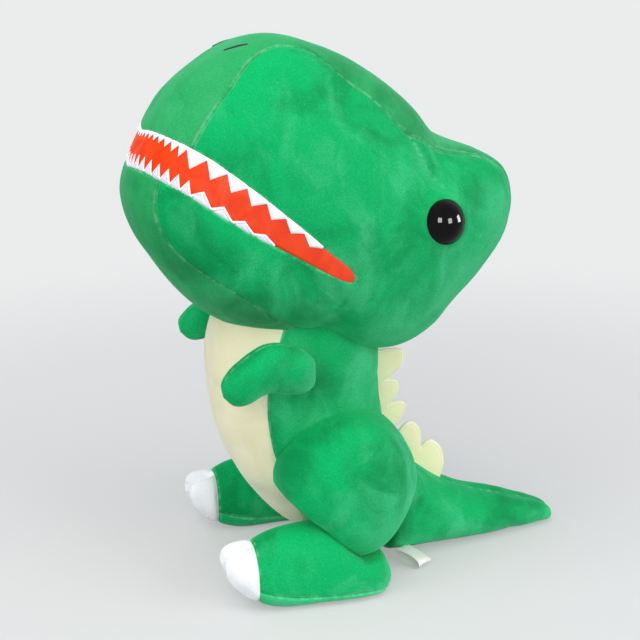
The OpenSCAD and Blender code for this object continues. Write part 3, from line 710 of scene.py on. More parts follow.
def grade(cells: int, low: bool, high: bool, amount: float = 0.8) -> Array:
    """Places from 0 to 1 that stand closer at the sewn ends.

    Args:
        cells: how many steps there are.
        low: finer steps near 0.
        high: finer steps near 1.
        amount: how much finer, from 0 to 1.

    Returns:
        The places.
    """
    x = np.linspace(0, 1, cells + 1)
    if low and high:
        return x - amount * np.sin(2 * np.pi * x) / (2 * np.pi)
    return x - (int(low) - int(high)) * amount * np.sin(np.pi * x) / np.pi


def make_object(name: str, bm: bmesh.types.BMesh, sharp: float = 60) -> bpy.types.Object:
    """Turns a bmesh into a smooth-shaded object at the origin.

    Args:
        name: the piece's name.
        bm: its mesh, which is freed.
        sharp: edges steeper than this many degrees stay sharp.

    Returns:
        The object.
    """
    bm.normal_update()
    limit = math.radians(sharp)
    for face in bm.faces:
        face.smooth = True
    for edge in bm.edges:
        edge.smooth = edge.calc_face_angle(0.0) < limit
    mesh = bpy.data.meshes.new(name)
    bm.to_mesh(mesh)
    bm.free()
    obj = bpy.data.objects.new(name, mesh)
    bpy.context.scene.collection.objects.link(obj)
    return obj


def grid_mesh(place: Array) -> bmesh.types.BMesh:
    """A grid of cells whose points are put in place.

    Args:
        place: the points, in metres, as rows along u of points along v.

    Returns:
        The bmesh; each vertex keeps its number among the flattened points.
    """
    count_u, count_v = place.shape[:2]
    bm = bmesh.new()
    bmesh.ops.create_grid(bm, x_segments=count_v - 1, y_segments=count_u - 1, size=0.5)
    number = bm.verts.layers.int.new("number")
    flat = place.reshape(-1, 3)
    for vert in bm.verts:
        j = round((vert.co.x + 0.5) * (count_v - 1))
        i = round((vert.co.y + 0.5) * (count_u - 1))
        vert[number] = i * count_v + j
        vert.co = flat[i * count_v + j]
    return bm


def mark(bm: bmesh.types.BMesh, name: str, values: Array) -> None:
    """Keeps a value for each point of a grid as an attribute of its mesh.

    Args:
        bm: mesh of the grid.
        name: the attribute's name.
        values: one value for each point.
    """
    layer = bm.verts.layers.float.new(name)
    number = bm.verts.layers.int["number"]
    flat = values.reshape(-1)
    for vert in bm.verts:
        vert[layer] = flat[vert[number]]


def drop_numbers(bm: bmesh.types.BMesh) -> None:
    """Takes the grid's numbers off its vertices."""
    bm.verts.layers.int.remove(bm.verts.layers.int["number"])


def face_outwards(bm: bmesh.types.BMesh, inside: Vector) -> None:
    """Turns an open sheet's faces away from a point behind it.

    Args:
        bm: mesh of the sheet.
        inside: point behind it.
    """
    bm.normal_update()
    total = sum(f.normal.dot(f.calc_center_median() - inside) * f.calc_area() for f in bm.faces)
    if total < 0:
        bmesh.ops.reverse_faces(bm, faces=bm.faces[:])


@dataclass
class Cut:
    """One cut of plush, sewn along its edges and pushed out by its filling."""

    name: str
    spot: Spot
    cells: tuple[int, int]
    inside: tuple[float, float, float]
    low_u: Sewing = SEWN
    high_u: Sewing = SEWN
    low_v: Sewing = SEWN
    high_v: Sewing = SEWN
    relief: Optional[Callable[[Array], Array]] = None
    swell: float = 2.2  # the farthest that the filling pushes it out
    rest: float = 0.7  # its depth under the form
    ripple: float = 0.5  # how uneven its face is
    seed: float = 3.0

    def depth(self, p: Array, poles: Sequence[bool]) -> tuple[Array, Array]:
        """How deep each point lies under the form.

        Args:
            p: the points on the form.
            poles: whether low u, high u, low v and high v run into one point.

        Returns:
            The depth and the nearness to a seam.
        """
        du = np.linalg.norm(np.diff(p, axis=0), axis=-1)
        dv = np.linalg.norm(np.diff(p, axis=1), axis=-1)
        su = np.concatenate([np.zeros((1, p.shape[1])), np.cumsum(du, axis=0)])
        sv = np.concatenate([np.zeros((p.shape[0], 1)), np.cumsum(dv, axis=1)], axis=1)
        total = np.full(p.shape[:-1], self.rest)
        near = np.zeros(p.shape[:-1])
        gather = 0.5 + 0.5 * drift(p, GATHER_SIZE, self.seed)
        ways = (su, su[-1:] - su, sv, sv[:, -1:] - sv)
        edges = (self.low_u, self.high_u, self.low_v, self.high_v)
        for s, sewing, pole in zip(ways, edges, poles):
            if sewing.drawn == 0 or pole:
                continue
            total += sewing.drawn * hump(s, sewing.width)
            total += sewing.pucker * gather * hump(s - GATHER_AT, GATHER_WIDTH)
            near = np.maximum(near, hump(s, SEAM_LINE))
        slow, fine = (drift(p, size, self.seed + k) for size, k in zip(RIPPLES, (5, 9)))
        return total - (self.ripple * slow + 0.4 * self.ripple * fine), near

    def pushed_out(self, m: int, n: int) -> Array:
        """Blows a coarse copy of the cut out with Cloth, held at its edges.

        Args:
            m: points along u.
            n: points along v.

        Returns:
            How far each coarse point moved, in millimetres.
        """
        u, v = np.meshgrid(np.linspace(0, 1, m), np.linspace(0, 1, n), indexing="ij")
        bm = grid_mesh(rows(self.spot(u, v, np.zeros_like(u))))
        bmesh.ops.remove_doubles(bm, verts=bm.verts[:], dist=TRIAL_MERGE)
        face_outwards(bm, row(self.inside))
        obj = make_object("cloth_trial", bm)
        mesh = obj.data
        number = np.zeros(len(mesh.vertices), np.int32)
        mesh.attributes["number"].data.foreach_get("value", number)
        i, j = number // n, number % n
        edge = np.minimum.reduce([i, m - 1 - i, j, n - 1 - j])
        group = obj.vertex_groups.new(name="sewn")
        group.add([int(k) for k in np.nonzero(edge == 0)[0]], 1.0, "REPLACE")
        start = np.zeros(len(number) * 3)
        mesh.vertices.foreach_get("co", start)
        cloth = obj.modifiers.new("Cloth", "CLOTH")
        for name, value in PLUSH_CLOTH.items():
            setattr(cloth.settings, name, value)
        cloth.settings.vertex_group_mass = group.name
        cloth.settings.effector_weights.gravity = 0
        cloth.collision_settings.use_collision = False
        cloth.point_cache.frame_start, cloth.point_cache.frame_end = 1, TRIAL_FRAMES
        scene = bpy.context.scene
        for frame in range(1, TRIAL_FRAMES + 1):
            scene.frame_set(frame)
        shaped = obj.evaluated_get(bpy.context.evaluated_depsgraph_get()).data
        end = np.zeros(len(number) * 3)
        shaped.vertices.foreach_get("co", end)
        scene.frame_set(1)
        bpy.data.objects.remove(obj)
        bpy.data.meshes.remove(mesh)
        move = (end - start).reshape(-1, 3) / MM
        far = np.linalg.norm(move, axis=1, keepdims=True)
        move *= np.where(far > 1e-9, self.swell * np.tanh(far / self.swell) / np.maximum(far, 1e-9), 0)
        table = np.zeros((m * n, 3))
        table[number] = np.nan_to_num(move)
        return table.reshape(m, n, 3)

    def build(self) -> bpy.types.Object:
        """Makes the cut's closed, two-sided mesh.

        Returns:
            The object.
        """
        us = grade(self.cells[0], self.low_u.drawn > 0, self.high_u.drawn > 0)
        vs = grade(self.cells[1], self.low_v.drawn > 0, self.high_v.drawn > 0)
        u, v = np.meshgrid(us, vs, indexing="ij")
        face = self.spot(u, v, np.zeros_like(u))
        ends = face[0], face[-1], face[:, 0], face[:, -1]
        poles = [np.ptp(end, axis=0).max() < POLE for end in ends]
        depth, near = self.depth(face, poles)
        if self.relief is not None:
            extra, line = self.relief(face)
            depth = depth + extra
            near = np.maximum(near, line)
        place = self.spot(u, v, depth)
        lining = self.spot(u, v, depth + CLOTH)
        if self.swell > 0:
            lengths = [np.linalg.norm(np.diff(face, axis=k), axis=-1).sum(k).max() for k in (0, 1)]
            m, n = (int(np.clip(length / TRIAL_CELL, *TRIAL_CELLS)) + 1 for length in lengths)
            moved = self.pushed_out(m, n)
            for _ in range(2):
                moved[1:-1] = (moved[:-2] + 2 * moved[1:-1] + moved[2:]) / 4
                moved[:, 1:-1] = (moved[:, :-2] + 2 * moved[:, 1:-1] + moved[:, 2:]) / 4
            moved = np.einsum("im,mnk,jn->ijk", cubic_weights(us, m), moved, cubic_weights(vs, n))
            for end, pole in zip(ends, poles):
                if pole:
                    moved *= smooth_step(np.linalg.norm(face - end[0], axis=-1), *POLE_FADE)[..., None]
            place, lining = place + moved, lining + moved
        bm = grid_mesh(rows(place))
        outer, inner = (rows(p).reshape(-1, 3) for p in (place, lining))
        mark(bm, "seam", near)
        bmesh.ops.remove_doubles(bm, verts=bm.verts[:], dist=MERGE)
        bmesh.ops.dissolve_degenerate(bm, edges=bm.edges[:], dist=1e-6)
        face_outwards(bm, row(self.inside))
        bmesh.ops.solidify(bm, geom=bm.faces[:], thickness=CLOTH * MM)
        number = bm.verts.layers.int["number"]
        for vert in bm.verts:
            if (vert.co - Vector(outer[vert[number]])).length > 1e-5:
                vert.co = inner[vert[number]]
        drop_numbers(bm)
        return make_object(self.name, bm)


def sided(side: Side, spot: Spot) -> Spot:
    """A left form for the side that is asked for."""
    return lambda u, v, d: spot(u, v, d) * side.flip


def filling(name: str, spot: Core, cells: tuple[int, int]) -> bpy.types.Object:
    """A closed core of stuffing.

    Args:
        name: the piece's name.
        spot: its points for places from 0 to 1 along it and round it.
        cells: cells along it and round it.

    Returns:
        The object.
    """
    u, v = np.meshgrid(*(np.linspace(0, 1, count + 1) for count in cells), indexing="ij")
    place = spot(u, v)
    place[0], place[-1] = place[0].mean(0), place[-1].mean(0)
    bm = grid_mesh(rows(place))
    drop_numbers(bm)
    bmesh.ops.remove_doubles(bm, verts=bm.verts[:], dist=5e-5)
    bmesh.ops.dissolve_degenerate(bm, edges=bm.edges[:], dist=1e-6)
    bmesh.ops.recalc_face_normals(bm, faces=bm.faces[:])
    return make_object(name, bm, sharp=180)


# ---------- finishes ----------
def srgb(r: int, g: int, b: int) -> Colour:
    """A screen colour as the linear one that shaders take."""
    return tuple(c / 3294.6 if c <= 10 else ((c / 255 + 0.055) / 1.055) ** 2.4 for c in (r, g, b))


class Bench:
    """Places and links the nodes of one tree; a value may be a number, a colour or a socket."""

    def __init__(self, tree: bpy.types.NodeTree) -> None:
        """Starts from an empty tree."""
        self.tree = tree
        tree.nodes.clear()

    def add(self, kind: str, inputs: Optional[dict] = None, **settings: object) -> bpy.types.Node:
        """Adds a node.

        Args:
            kind: the node's type, without its ShaderNode prefix.
            inputs: socket names with a value or a socket to link from.
            settings: the node's own properties.

        Returns:
            The node.
        """
        prefix = "" if kind.startswith("NodeGroup") else "ShaderNode"
        node = self.tree.nodes.new(prefix + kind)
        for key, value in settings.items():
            setattr(node, key, value)
        for key, value in (inputs or {}).items():
            socket = node.inputs[key]
            if isinstance(value, bpy.types.NodeSocket):
                self.tree.links.new(value, socket)
            elif isinstance(value, tuple) and socket.type == "RGBA":
                socket.default_value = (*value[:3], 1)
            else:
                socket.default_value = value
        return node

    def mix(self, share: object, a: object, b: object) -> bpy.types.NodeSocket:
        """Mixes two colours by a share."""
        return self.add("Mix", {0: share, 6: a, 7: b}, data_type="RGBA").outputs[2]

    def ramp(self, value: bpy.types.NodeSocket, low: float, high: float,
             to_low: float = 0.0, to_high: float = 1.0) -> bpy.types.NodeSocket:
        """Maps a range of values onto another, held at both ends.

        Args:
            value: value to map.
            low: lower end of its range.
            high: upper end of its range.
            to_low: result at the lower end.
            to_high: result at the upper end.

        Returns:
            The mapped value.
        """
        node = self.add("MapRange", {"Value": value, "From Min": low, "From Max": high,
                                     "To Min": to_low, "To Max": to_high}, interpolation_type="SMOOTHSTEP")
        return node.outputs[0]

    def sum(self, kind: str, a: object, b: object) -> bpy.types.NodeSocket:
        """One math step on two values."""
        return self.add("Math", {0: a, 1: b}, operation=kind).outputs[0]

    def noise(self, place: bpy.types.NodeSocket, scale: object, detail: float = 2.0,
              roughness: float = 0.5, distortion: float = 0.0) -> bpy.types.NodeSocket:
        """Noise over a place, as a value."""
        return self.add("TexNoise", {"Vector": place, "Scale": scale, "Detail": detail,
                                     "Roughness": roughness, "Distortion": distortion}).outputs["Fac"]

    def bump(self, height: bpy.types.NodeSocket, strength: float, distance: float,
             over: Optional[bpy.types.NodeSocket] = None) -> bpy.types.NodeSocket:
        """A normal bumped by a height, over another normal if there is one.

        Args:
            height: height to bump by.
            strength: how much it counts.
            distance: height of a full bump.
            over: normal to start from, if any.

        Returns:
            The bumped normal.
        """
        inputs = {"Height": height, "Strength": strength, "Distance": distance}
        if over is not None:
            inputs["Normal"] = over
        return self.add("Bump", inputs).outputs[0]

    def surface(self, inputs: dict) -> None:
        """Ends a material in one principled shader."""
        self.add("OutputMaterial", {"Surface": self.add("BsdfPrincipled", inputs).outputs[0]})


def group(name: str, inputs: Sequence[tuple], outputs: Sequence[tuple]) -> tuple:
    """A new shader node group.

    Args:
        name: its name.
        inputs: socket names and types, with a default for numbers.
        outputs: socket names and types.

    Returns:
        The tree, its bench, its input node and its output node.
    """
    tree = bpy.data.node_groups.new(name, "ShaderNodeTree")
    for label, kind, *value in inputs:
        socket = tree.interface.new_socket(label, in_out="INPUT", socket_type="NodeSocket" + kind)
        if value:
            socket.default_value = value[0]
    for label, kind in outputs:
        tree.interface.new_socket(label, in_out="OUTPUT", socket_type="NodeSocket" + kind)
    bench = Bench(tree)
    return tree, bench, bench.add("NodeGroupInput"), bench.add("NodeGroupOutput")


def blank(name: str) -> tuple[bpy.types.Material, Bench, bpy.types.NodeSocket]:
    """A new material, its bench and the place on the object.

    Args:
        name: the material's name.

    Returns:
        The material, its bench and the place.
    """
    made = bpy.data.materials.new(name)
    made.use_nodes = True
    bench = Bench(made.node_tree)
    return made, bench, bench.add("TexCoord").outputs["Object"]


def nap_group() -> bpy.types.NodeTree:
    """The lie of plush pile: soft patches where the pile leans either way, fine tufts and their height.

    Returns:
        The node group.
    """
    tree, bench, source, sink = group(
        "pile nap", [("Vector", "Vector"), ("Patch", "Float", 16.0), ("Tuft", "Float", 850.0)],
        [("Patches", "Float"), ("Strokes", "Float"), ("Tufts", "Float"), ("Height", "Float")])
    place = source.outputs["Vector"]
    lean = bench.add("Mapping", {"Vector": place, "Rotation": (0.3, 0.5, 0.9), "Scale": (1.0, 1.0, 0.7)})

    def field_of(scale_by: str, times: float, detail: float, distortion: float,
                 vector: bpy.types.NodeSocket = place) -> bpy.types.NodeSocket:
        """A noise whose scale follows a group input."""
        scale = bench.sum("MULTIPLY", source.outputs[scale_by], times)
        return bench.noise(vector, scale, detail, 0.55, distortion)

    tufts, fibres = field_of("Tuft", 1.0, 2.0, 0.6), field_of("Tuft", 2.3, 1.0, 0.0)
    height = bench.sum("ADD", bench.sum("MULTIPLY", tufts, 0.6), bench.sum("MULTIPLY", fibres, 0.4))
    for label, value in (("Patches", field_of("Patch", 1.0, 4.0, 0.5)),
                         ("Strokes", field_of("Patch", 1.9, 6.0, 0.6, lean.outputs[0])),
                         ("Tufts", tufts), ("Height", height)):
        bench.tree.links.new(value, sink.inputs[label])
    return tree


PAINTED_LIGHT_WAY = (-0.15, 0.72, -0.68)  # painted light: cloth that faces this way is painted paler, as if lit there


@dataclass(frozen=True)
class Plush:
    """Short-pile plush: its colour with random darker patches, painted light where it faces one way and
    towards its outline, painted shade in a seam's groove, painted sheen beside a seam, and its sheen.
    """

    name: str
    slot: str
    base: Colour
    shade: Colour
    light: Colour
    # the sheen's tint, which is also painted beside a seam as painted sheen
    fuzz: Colour
    patch: float = 16.0
    sheen: float = 0.12
    contrast: float = 1.0
    # share of painted light on cloth that faces the lit way
    brushed: float = 0.85

    def material(self, nap: bpy.types.NodeTree) -> bpy.types.Material:
        """Builds the material.

        Args:
            nap: the pile nap group.

        Returns:
            The material.
        """
        made, bench, place = blank(self.name)
        lie = bench.add("Group", {"Vector": place, "Patch": self.patch}, node_tree=nap).outputs
        # Painted light: how far the cloth faces the lit way, broken up by the strokes.
        way = bench.add("VectorMath", {0: bench.add("TexCoord").outputs["Normal"], 1: PAINTED_LIGHT_WAY},
                        operation="DOT_PRODUCT").outputs["Value"]
        way = bench.sum("ADD", way, bench.ramp(lie["Strokes"], 0.3, 0.7, -0.28, 0.28))
        colour = self.base
        # Random tone from the patches, strokes and tufts; the second row is painted light on cloth that
        # faces the lit way.
        for value, low, high, share, tone in (
                (lie["Patches"], 0.58, 0.36, 0.85 * self.contrast, self.shade),
                (way, -0.35, 0.85, self.brushed, self.light),
                (lie["Strokes"], 0.48, 0.8, 0.25 * self.contrast, self.light),
                (lie["Tufts"], 0.56, 0.34, 0.3, self.shade),
                (lie["Tufts"], 0.54, 0.76, 0.2, self.light)):
            colour = bench.mix(bench.ramp(value, low, high, 0.0, share), colour, tone)
        # Painted sheen on the pile beside a seam, broken up by noise, and painted shade in the seam's
        # groove.
        seam = bench.add("Attribute", attribute_name="seam").outputs["Fac"]
        broken = bench.ramp(bench.noise(place, 160.0, 4.0), 0.38, 0.66)
        seam_sheen = bench.sum("MULTIPLY", bench.ramp(seam, 0.01, 0.4, 0.0, 0.34), broken)
        groove_shade = bench.ramp(seam, 0.75, 1.0, 0.0, 0.25)
        # Painted rim light: the plush is painted paler towards its outline as the camera sees it, a painted
        # sheen.
        edge = bench.add("LayerWeight", {"Blend": 0.3}).outputs["Facing"]
        rim = bench.ramp(edge, 0.3, 1.0, 0.0, 0.6)
        for share, tone in ((seam_sheen, self.fuzz), (groove_shade, tuple(0.6 * x for x in self.shade)),
                            (rim, self.light)):
            colour = bench.mix(share, colour, tone)
        pile = bench.bump(lie["Height"], 0.4, 0.0008)
        bench.surface({
            "Base Color": colour, "Roughness": bench.ramp(lie["Strokes"], 0.35, 0.7, 0.92, 0.8),
            "Specular IOR Level": 0.06, "Sheen Weight": self.sheen, "Sheen Roughness": 0.45,
            "Sheen Tint": self.fuzz, "Normal": bench.bump(lie["Strokes"], 0.2, 0.004, pile)})
        return made


@dataclass(frozen=True)
class Felt:
    """Pressed felt with a sewn line inside its cut edge."""

    name: str
    slot: str
    base: Colour
    inner: Colour
    thread: Colour
    line: float = 1.6
    sheen: float = 0.2
    rough: float = 0.85

    def material(self) -> bpy.types.Material:
        """Builds the material; the pieces carry the way to their cut edge, in millimetres.

        Returns:
            The material.
        """
        made, bench, place = blank(self.name)
        edge = bench.add("Attribute", attribute_name="edge").outputs["Fac"]
        blotch = bench.ramp(bench.noise(place, 90.0, 4.0), 0.3, 0.7, 0.0, 0.5)
        colour = bench.mix(blotch, self.base, tuple(0.9 * x for x in self.base))
        colour = bench.mix(bench.ramp(edge, self.line - 0.2, self.line + 0.5), colour, self.inner)
        off = bench.sum("ABSOLUTE", bench.sum("SUBTRACT", edge, self.line), 0.0)
        stitch = bench.ramp(off, 0.55, 0.1, 0.0, 0.85)
        beat = bench.ramp(bench.noise(place, 420.0, 1.0), 0.3, 0.5, 0.35, 1.0)
        colour = bench.mix(bench.sum("MULTIPLY", stitch, beat), colour, self.thread)
        hairs = bench.noise(place, 1500.0, 3.0, 0.7)
        bench.surface({
            "Base Color": colour, "Roughness": bench.ramp(hairs, 0.3, 0.7, self.rough - 0.08, self.rough),
            "Sheen Weight": self.sheen, "Sheen Roughness": 0.5, "Normal": bench.bump(hairs, 0.35, 0.0005)})
        return made


@dataclass(frozen=True)
class Woven:
    """A fine weave: the mouth's lining and the label's ribbon."""

    name: str
    slot: str
    base: Colour
    shade: Colour
    pitch: float = 0.0006
    rough: float = 0.6
    sheen: float = 0.3

    def material(self) -> bpy.types.Material:
        """Builds the material.

        Returns:
            The material.
        """
        made, bench, place = blank(self.name)
        wave = {"Vector": place, "Scale": 0.5 / self.pitch / math.pi, "Distortion": 0.4, "Detail": 1.0}
        waves = [bench.add("TexWave", wave, wave_type="BANDS", bands_direction=way).outputs["Fac"]
                 for way in "YZ"]
        weave = bench.sum("MULTIPLY", *waves)
        soft = bench.ramp(bench.noise(place, 60.0, 3.0, 0.5, 0.8), 0.35, 0.7)
        colour = bench.mix(bench.sum("MULTIPLY", soft, 0.6), self.base, self.shade)
        colour = bench.mix(bench.ramp(weave, 0.5, 0.0, 0.0, 0.25), colour, self.shade)
        rough = bench.ramp(soft, 0.0, 1.0, self.rough - 0.1, self.rough + 0.1)
        bench.surface({"Base Color": colour, "Roughness": rough, "Sheen Weight": self.sheen,
                       "Specular IOR Level": 0.1, "Normal": bench.bump(weave, 0.3, 0.0003)})
        return made


@dataclass(frozen=True)
class Moulded:
    """Moulded plastic, thread or loose fibre: one colour with fine change over it."""

    name: str
    slot: str
    base: Colour
    rough: float
    grain: float
    depth: float = 0.0002
    shine: float = 0.4
    change: float = 0.15

    def material(self) -> bpy.types.Material:
        """Builds the material.

        Returns:
            The material.
        """
        made, bench, place = blank(self.name)
        grain = bench.noise(place, self.grain, 4.0, 0.6)
        share = bench.ramp(grain, 0.35, 0.7, 0.0, self.change)
        colour = bench.mix(share, self.base, tuple(0.55 * x + 0.02 for x in self.base))
        rough = bench.ramp(grain, 0.3, 0.7, self.rough * 0.85, self.rough * 1.15)
        bench.surface({"Base Color": colour, "Roughness": rough, "Specular IOR Level": self.shine,
                       "Normal": bench.bump(grain, 0.4, self.depth)})
        return made


@dataclass(frozen=True)
class Bend:
    """Where a piece's cloth passes from one body to the next."""

    low: str
    high: str
    start: tuple[float, float, float]
    end: tuple[float, float, float]


class Wardrobe:
    """Every finish of the animal, built once."""

    def __init__(self) -> None:
        """Builds the groups and the materials."""
        nap = nap_group()
        pile = [
            Plush("emerald plush", "green_plush", srgb(2, 178, 100), srgb(0, 140, 74), srgb(76, 214, 148),
                  srgb(130, 226, 176)),
            Plush("leaf plush", "light_green_plush", srgb(44, 168, 98), srgb(26, 138, 76),
                  srgb(92, 200, 142), srgb(150, 218, 176)),
            # The sole's own cut of plush, made paler than the green as painted light against the shade under
            # the foot.
            Plush("sole plush", "sole_plush", srgb(40, 194, 122), srgb(14, 168, 98), srgb(104, 220, 162),
                  srgb(140, 224, 180)),
            Plush("cream plush", "cream_plush", srgb(249, 246, 214), srgb(238, 230, 184),
                  srgb(253, 252, 234), srgb(254, 252, 238), contrast=0.6),
            Plush("white plush", "white_plush", srgb(249, 250, 252), srgb(226, 230, 236),
                  srgb(253, 253, 254), srgb(254, 254, 254), contrast=0.5),
        ]
        rest = [
            Woven("red velveteen", "red_fabric", srgb(246, 72, 8), srgb(232, 48, 6), sheen=0.02),
            Woven("label ribbon", "label_ribbon", srgb(250, 249, 244), srgb(232, 230, 224), rough=0.45),
            Felt("white felt", "white_felt", srgb(248, 249, 252), srgb(226, 232, 246), srgb(206, 170, 176)),
            Felt("crest felt", "crest_felt", srgb(254, 248, 210), srgb(252, 244, 196), srgb(238, 222, 160),
                 line=CREST_STITCH),
            Moulded("black eye", "black_plastic", srgb(6, 5, 6), 0.05, 60.0, 0.00001, 0.11),
            Moulded("washer plastic", "washer_plastic", srgb(225, 225, 222), 0.4, 700.0),
            Moulded("black thread", "black_thread", srgb(24, 26, 24), 0.7, 1600.0, 0.0004),
            Moulded("polyester fibre", "stuffing", srgb(240, 240, 236), 0.95, 260.0, 0.002),
        ]
        self.finishes = {f.slot: f.material(nap) for f in pile}
        self.finishes.update({f.slot: f.material() for f in rest})

    def fit(self, obj: bpy.types.Object, slot: str, rides: str | Bend, fill: float,
            *nodes: str) -> bpy.types.Object:
        """Dresses a piece, mounts it on its body or, for a bend, leaves it fixed in place, and hides the
        solids that it replaces.

        Args:
            obj: the piece.
            slot: its finish.
            rides: the body that it rides on, or a bend between two bodies, which leaves it fixed in place.
            fill: how full it is, or 0 where it isn't padded; not used.
            nodes: the solids that it replaces.

        Returns:
            The piece.
        """
        obj.data.materials.clear()
        obj.data.materials.append(self.finishes[slot])
        if isinstance(rides, Bend):
            row(rides.start)
            row(rides.end)
            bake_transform(obj)
        else:
            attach(obj, rides)
        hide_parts(*nodes)
        return obj


# ---------- sub-assemblies ----------
@dataclass(frozen=True)
class TeethRow:
    """Felt teeth along half a lip: narrow ones in front, wide ones on the cheek."""

    front_count: int
    front_pitch: float
    front_first: float
    front_last: float
    cheek_count: int
    cheek_pitch: float
    cheek_first: float
    cheek_last: float

    def notches(self) -> Array:
        """Way from the middle to each notch."""
        front = self.front_pitch * np.arange(self.front_count + 1)
        return np.concatenate([front, front[-1] + self.cheek_pitch * np.arange(1, self.cheek_count + 1)])

    def heights(self) -> Array:
        """How far each tooth's tip reaches from the lip.

        Returns:
            One height for each tooth, from the middle to the cheek.
        """
        rise = np.linspace(0, 1, self.front_count) ** 3
        front = self.front_first + (self.front_last - self.front_first) * rise
        return np.concatenate([front, np.linspace(self.cheek_first, self.cheek_last, self.cheek_count)])

    def flat(self, gum: float) -> tuple[float, float, float]:
        """Length, height and area that the strip is cut to, with its hem under the plush.

        Args:
            gum: how far the strip reaches from the lip in a notch.

        Returns:
            The three measures.
        """
        notches, heights = self.notches(), self.heights()
        area = 2 * float(np.sum(np.diff(notches) * (HEM + (gum + heights) / 2)))
        return 2 * float(notches[-1]), HEM + float(heights.max()), area


@dataclass
class Head:
    """The head with its mouth, teeth, eyes and nostrils; it rides on the head body."""

    wardrobe: Wardrobe
    form: HeadForm = field(default_factory=HeadForm)
    eye_angle: float = 153
    eye_turn: float = 60
    eye_r: float = 17.6
    eye_rise: float = 11
    eye_lift: float = 0.3
    eye_bed: tuple[float, float] = (16, 25)  # pressed flat up to the first reach, free from the second
    eye_ring: tuple[float, float, float] = (1.2, 20.2, 2.2)  # its rise, reach and width
    eye_high: float = 20  # farther off the eye's plane there is no bed
    eye_dent: tuple[float, float] = (9, 18)  # depth and reach of the dent in the filling
    upper_row: TeethRow = TeethRow(9, 7.83, 5.2, 9.0, 7, 18.4, 13.0, 6.0)
    lower_row: TeethRow = TeethRow(9, 9.7, 10.8, 10.2, 4, 18.5, 8.6, 4.5)
    gum: float = 1.1  # how far the strip reaches from the lip in a notch
    felt: float = 0.8  # how far a tooth's face stands out
    strip: float = 0.9  # the felt's thickness
    lining_lap: float = 2.4  # how far the mouth's lining runs past the lips
    lining_tuck: tuple[float, float] = (2.3, 0.09)  # its extra depth there and the share that it takes
    darts: tuple[tuple[tuple[float, float], ...], ...] = (
        ((117, 39), (122, 41), (127, 43), (134, 45.5), (142, 48)),
        ((131, 29), (136, 25), (141, 22), (146, 22.5), (151, 24.5)),
        ((163, 52), (168, 48.5), (173, 44.5)),
    )

    def eye_frame(self, side: Side) -> tuple[Array, Array]:
        """The eye's middle on the face and the way it looks.

        Args:
            side: which eye.

        Returns:
            The point and the unit normal.
        """
        at = self.form.at
        a, t = self.eye_angle, self.eye_turn
        n = np.cross(at(a + 2, t) - at(a - 2, t), at(a, t + 2) - at(a, t - 2))
        n = n / np.linalg.norm(n)
        n = n if n[0] > 0 else -n
        return at(a, t) * side.flip, n * side.flip

    def face_relief(self, p: Array) -> tuple[Array, Array]:
        """Grooves at the darts and the pressed ring round each eye.

        Args:
            p: points on the form.

        Returns:
            Extra depth and nearness to a sewn line.
        """
        left = on_left(p)
        depth, line = np.zeros((2, *p.shape[:-1]))
        for dart in self.darts:
            gap = line_gap(left, np.array([self.form.at(a, t) for a, t in dart]))
            depth += 0.9 * hump(gap, 1.7) + 0.6 * hump(gap, 6)
            line = np.maximum(line, 0.4 * hump(gap, SEAM_LINE))
        eye, n = self.eye_frame(Side.LEFT)
        high = (left - eye) @ n
        out = np.linalg.norm(left - eye - high[..., None] * n, axis=-1)
        by_eye = np.abs(high) < self.eye_high
        flat, free = self.eye_bed
        rise, reach, width = self.eye_ring
        depth += np.where(by_eye, smooth_step(-out, -free, -flat), 0) * (high + 0.9)
        depth -= np.where(by_eye, rise * hump(out - reach, width), 0)
        return depth, line

    def lining_spot(self, u: Array, v: Array, d: Array) -> Array:
        """The mouth's lining: u 0 under the upper lip and 1 under the lower, v from cheek to cheek.

        Args:
            u: share from lip to lip.
            v: share from cheek to cheek.
            d: depth under the lining.

        Returns:
            Points.
        """
        t = (2 * v - 1) * 89.97
        up, lo = self.form.upper_lip(t), self.form.lower_lip(t) - 360
        s = np.maximum(self.form.radius(up) * self.form.reach(t, self.form.power(up))[0], 4)
        over = np.degrees(np.arcsin(np.minimum(self.lining_lap / s, 0.9)))
        a = (up + over) + (lo - up - 2 * over) * u
        tuck = self.lining_tuck[0] * hump(np.minimum(u, 1 - u), self.lining_tuck[1])
        return self.form.at(a, t, d + tuck)

    def panels(self) -> list[tuple[Cut, str, str]]:
        """The head's cuts with their finish and the node that they stand for.

        Returns:
            Each cut with its finish and its node.
        """
        form = self.form
        made = []
        for side in Side:
            spot = sided(side, lambda u, v, d: form.side_spot(2 * u, v, d))
            made.append((Cut(f"{side.word}_face_cloth", spot, (250, 96), HEAD_MIDDLE, low_u=LIP, high_u=LIP,
                             high_v=OPEN, relief=self.face_relief, seed=2.0 + side.value, swell=1.0),
                         "green_plush", f"head_side_{side.word}"))
        made.append((Cut("crown_cloth", lambda u, v, d: form.centre_spot(u, 2 * v - 1, d), (210, 60),
                         HEAD_MIDDLE, low_u=LIP, relief=self.face_relief, seed=7.0, swell=1.0),
                     "light_green_plush", "crown_panel"))
        made.append((Cut("chin_cloth", lambda u, v, d: form.centre_spot(1 + u, 2 * v - 1, d), (120, 60),
                         HEAD_MIDDLE, high_u=LIP, seed=11.0, swell=1.0), "light_green_plush", "chin_panel"))
        made.append((Cut("mouth_lining_cloth", self.lining_spot, (40, 220), HEAD_MIDDLE, OPEN, OPEN, OPEN,
                         OPEN, swell=0, rest=1.6, ripple=0.25, seed=13.0), "red_fabric", "mouth_lining"))
        return made

    def lip_turns(self, upper: bool) -> tuple[Array, Array]:
        """Turns along half a lip and the way to each from the middle.

        Args:
            upper: the upper lip, not the lower.

        Returns:
            The turns and the ways.
        """
        t = np.linspace(0, 89, 700)
        p = self.form.lip_spot(t, upper, 0.0, 0.0)
        way = np.concatenate([[0], np.cumsum(np.linalg.norm(np.diff(p, axis=0), axis=-1))])
        return t, way

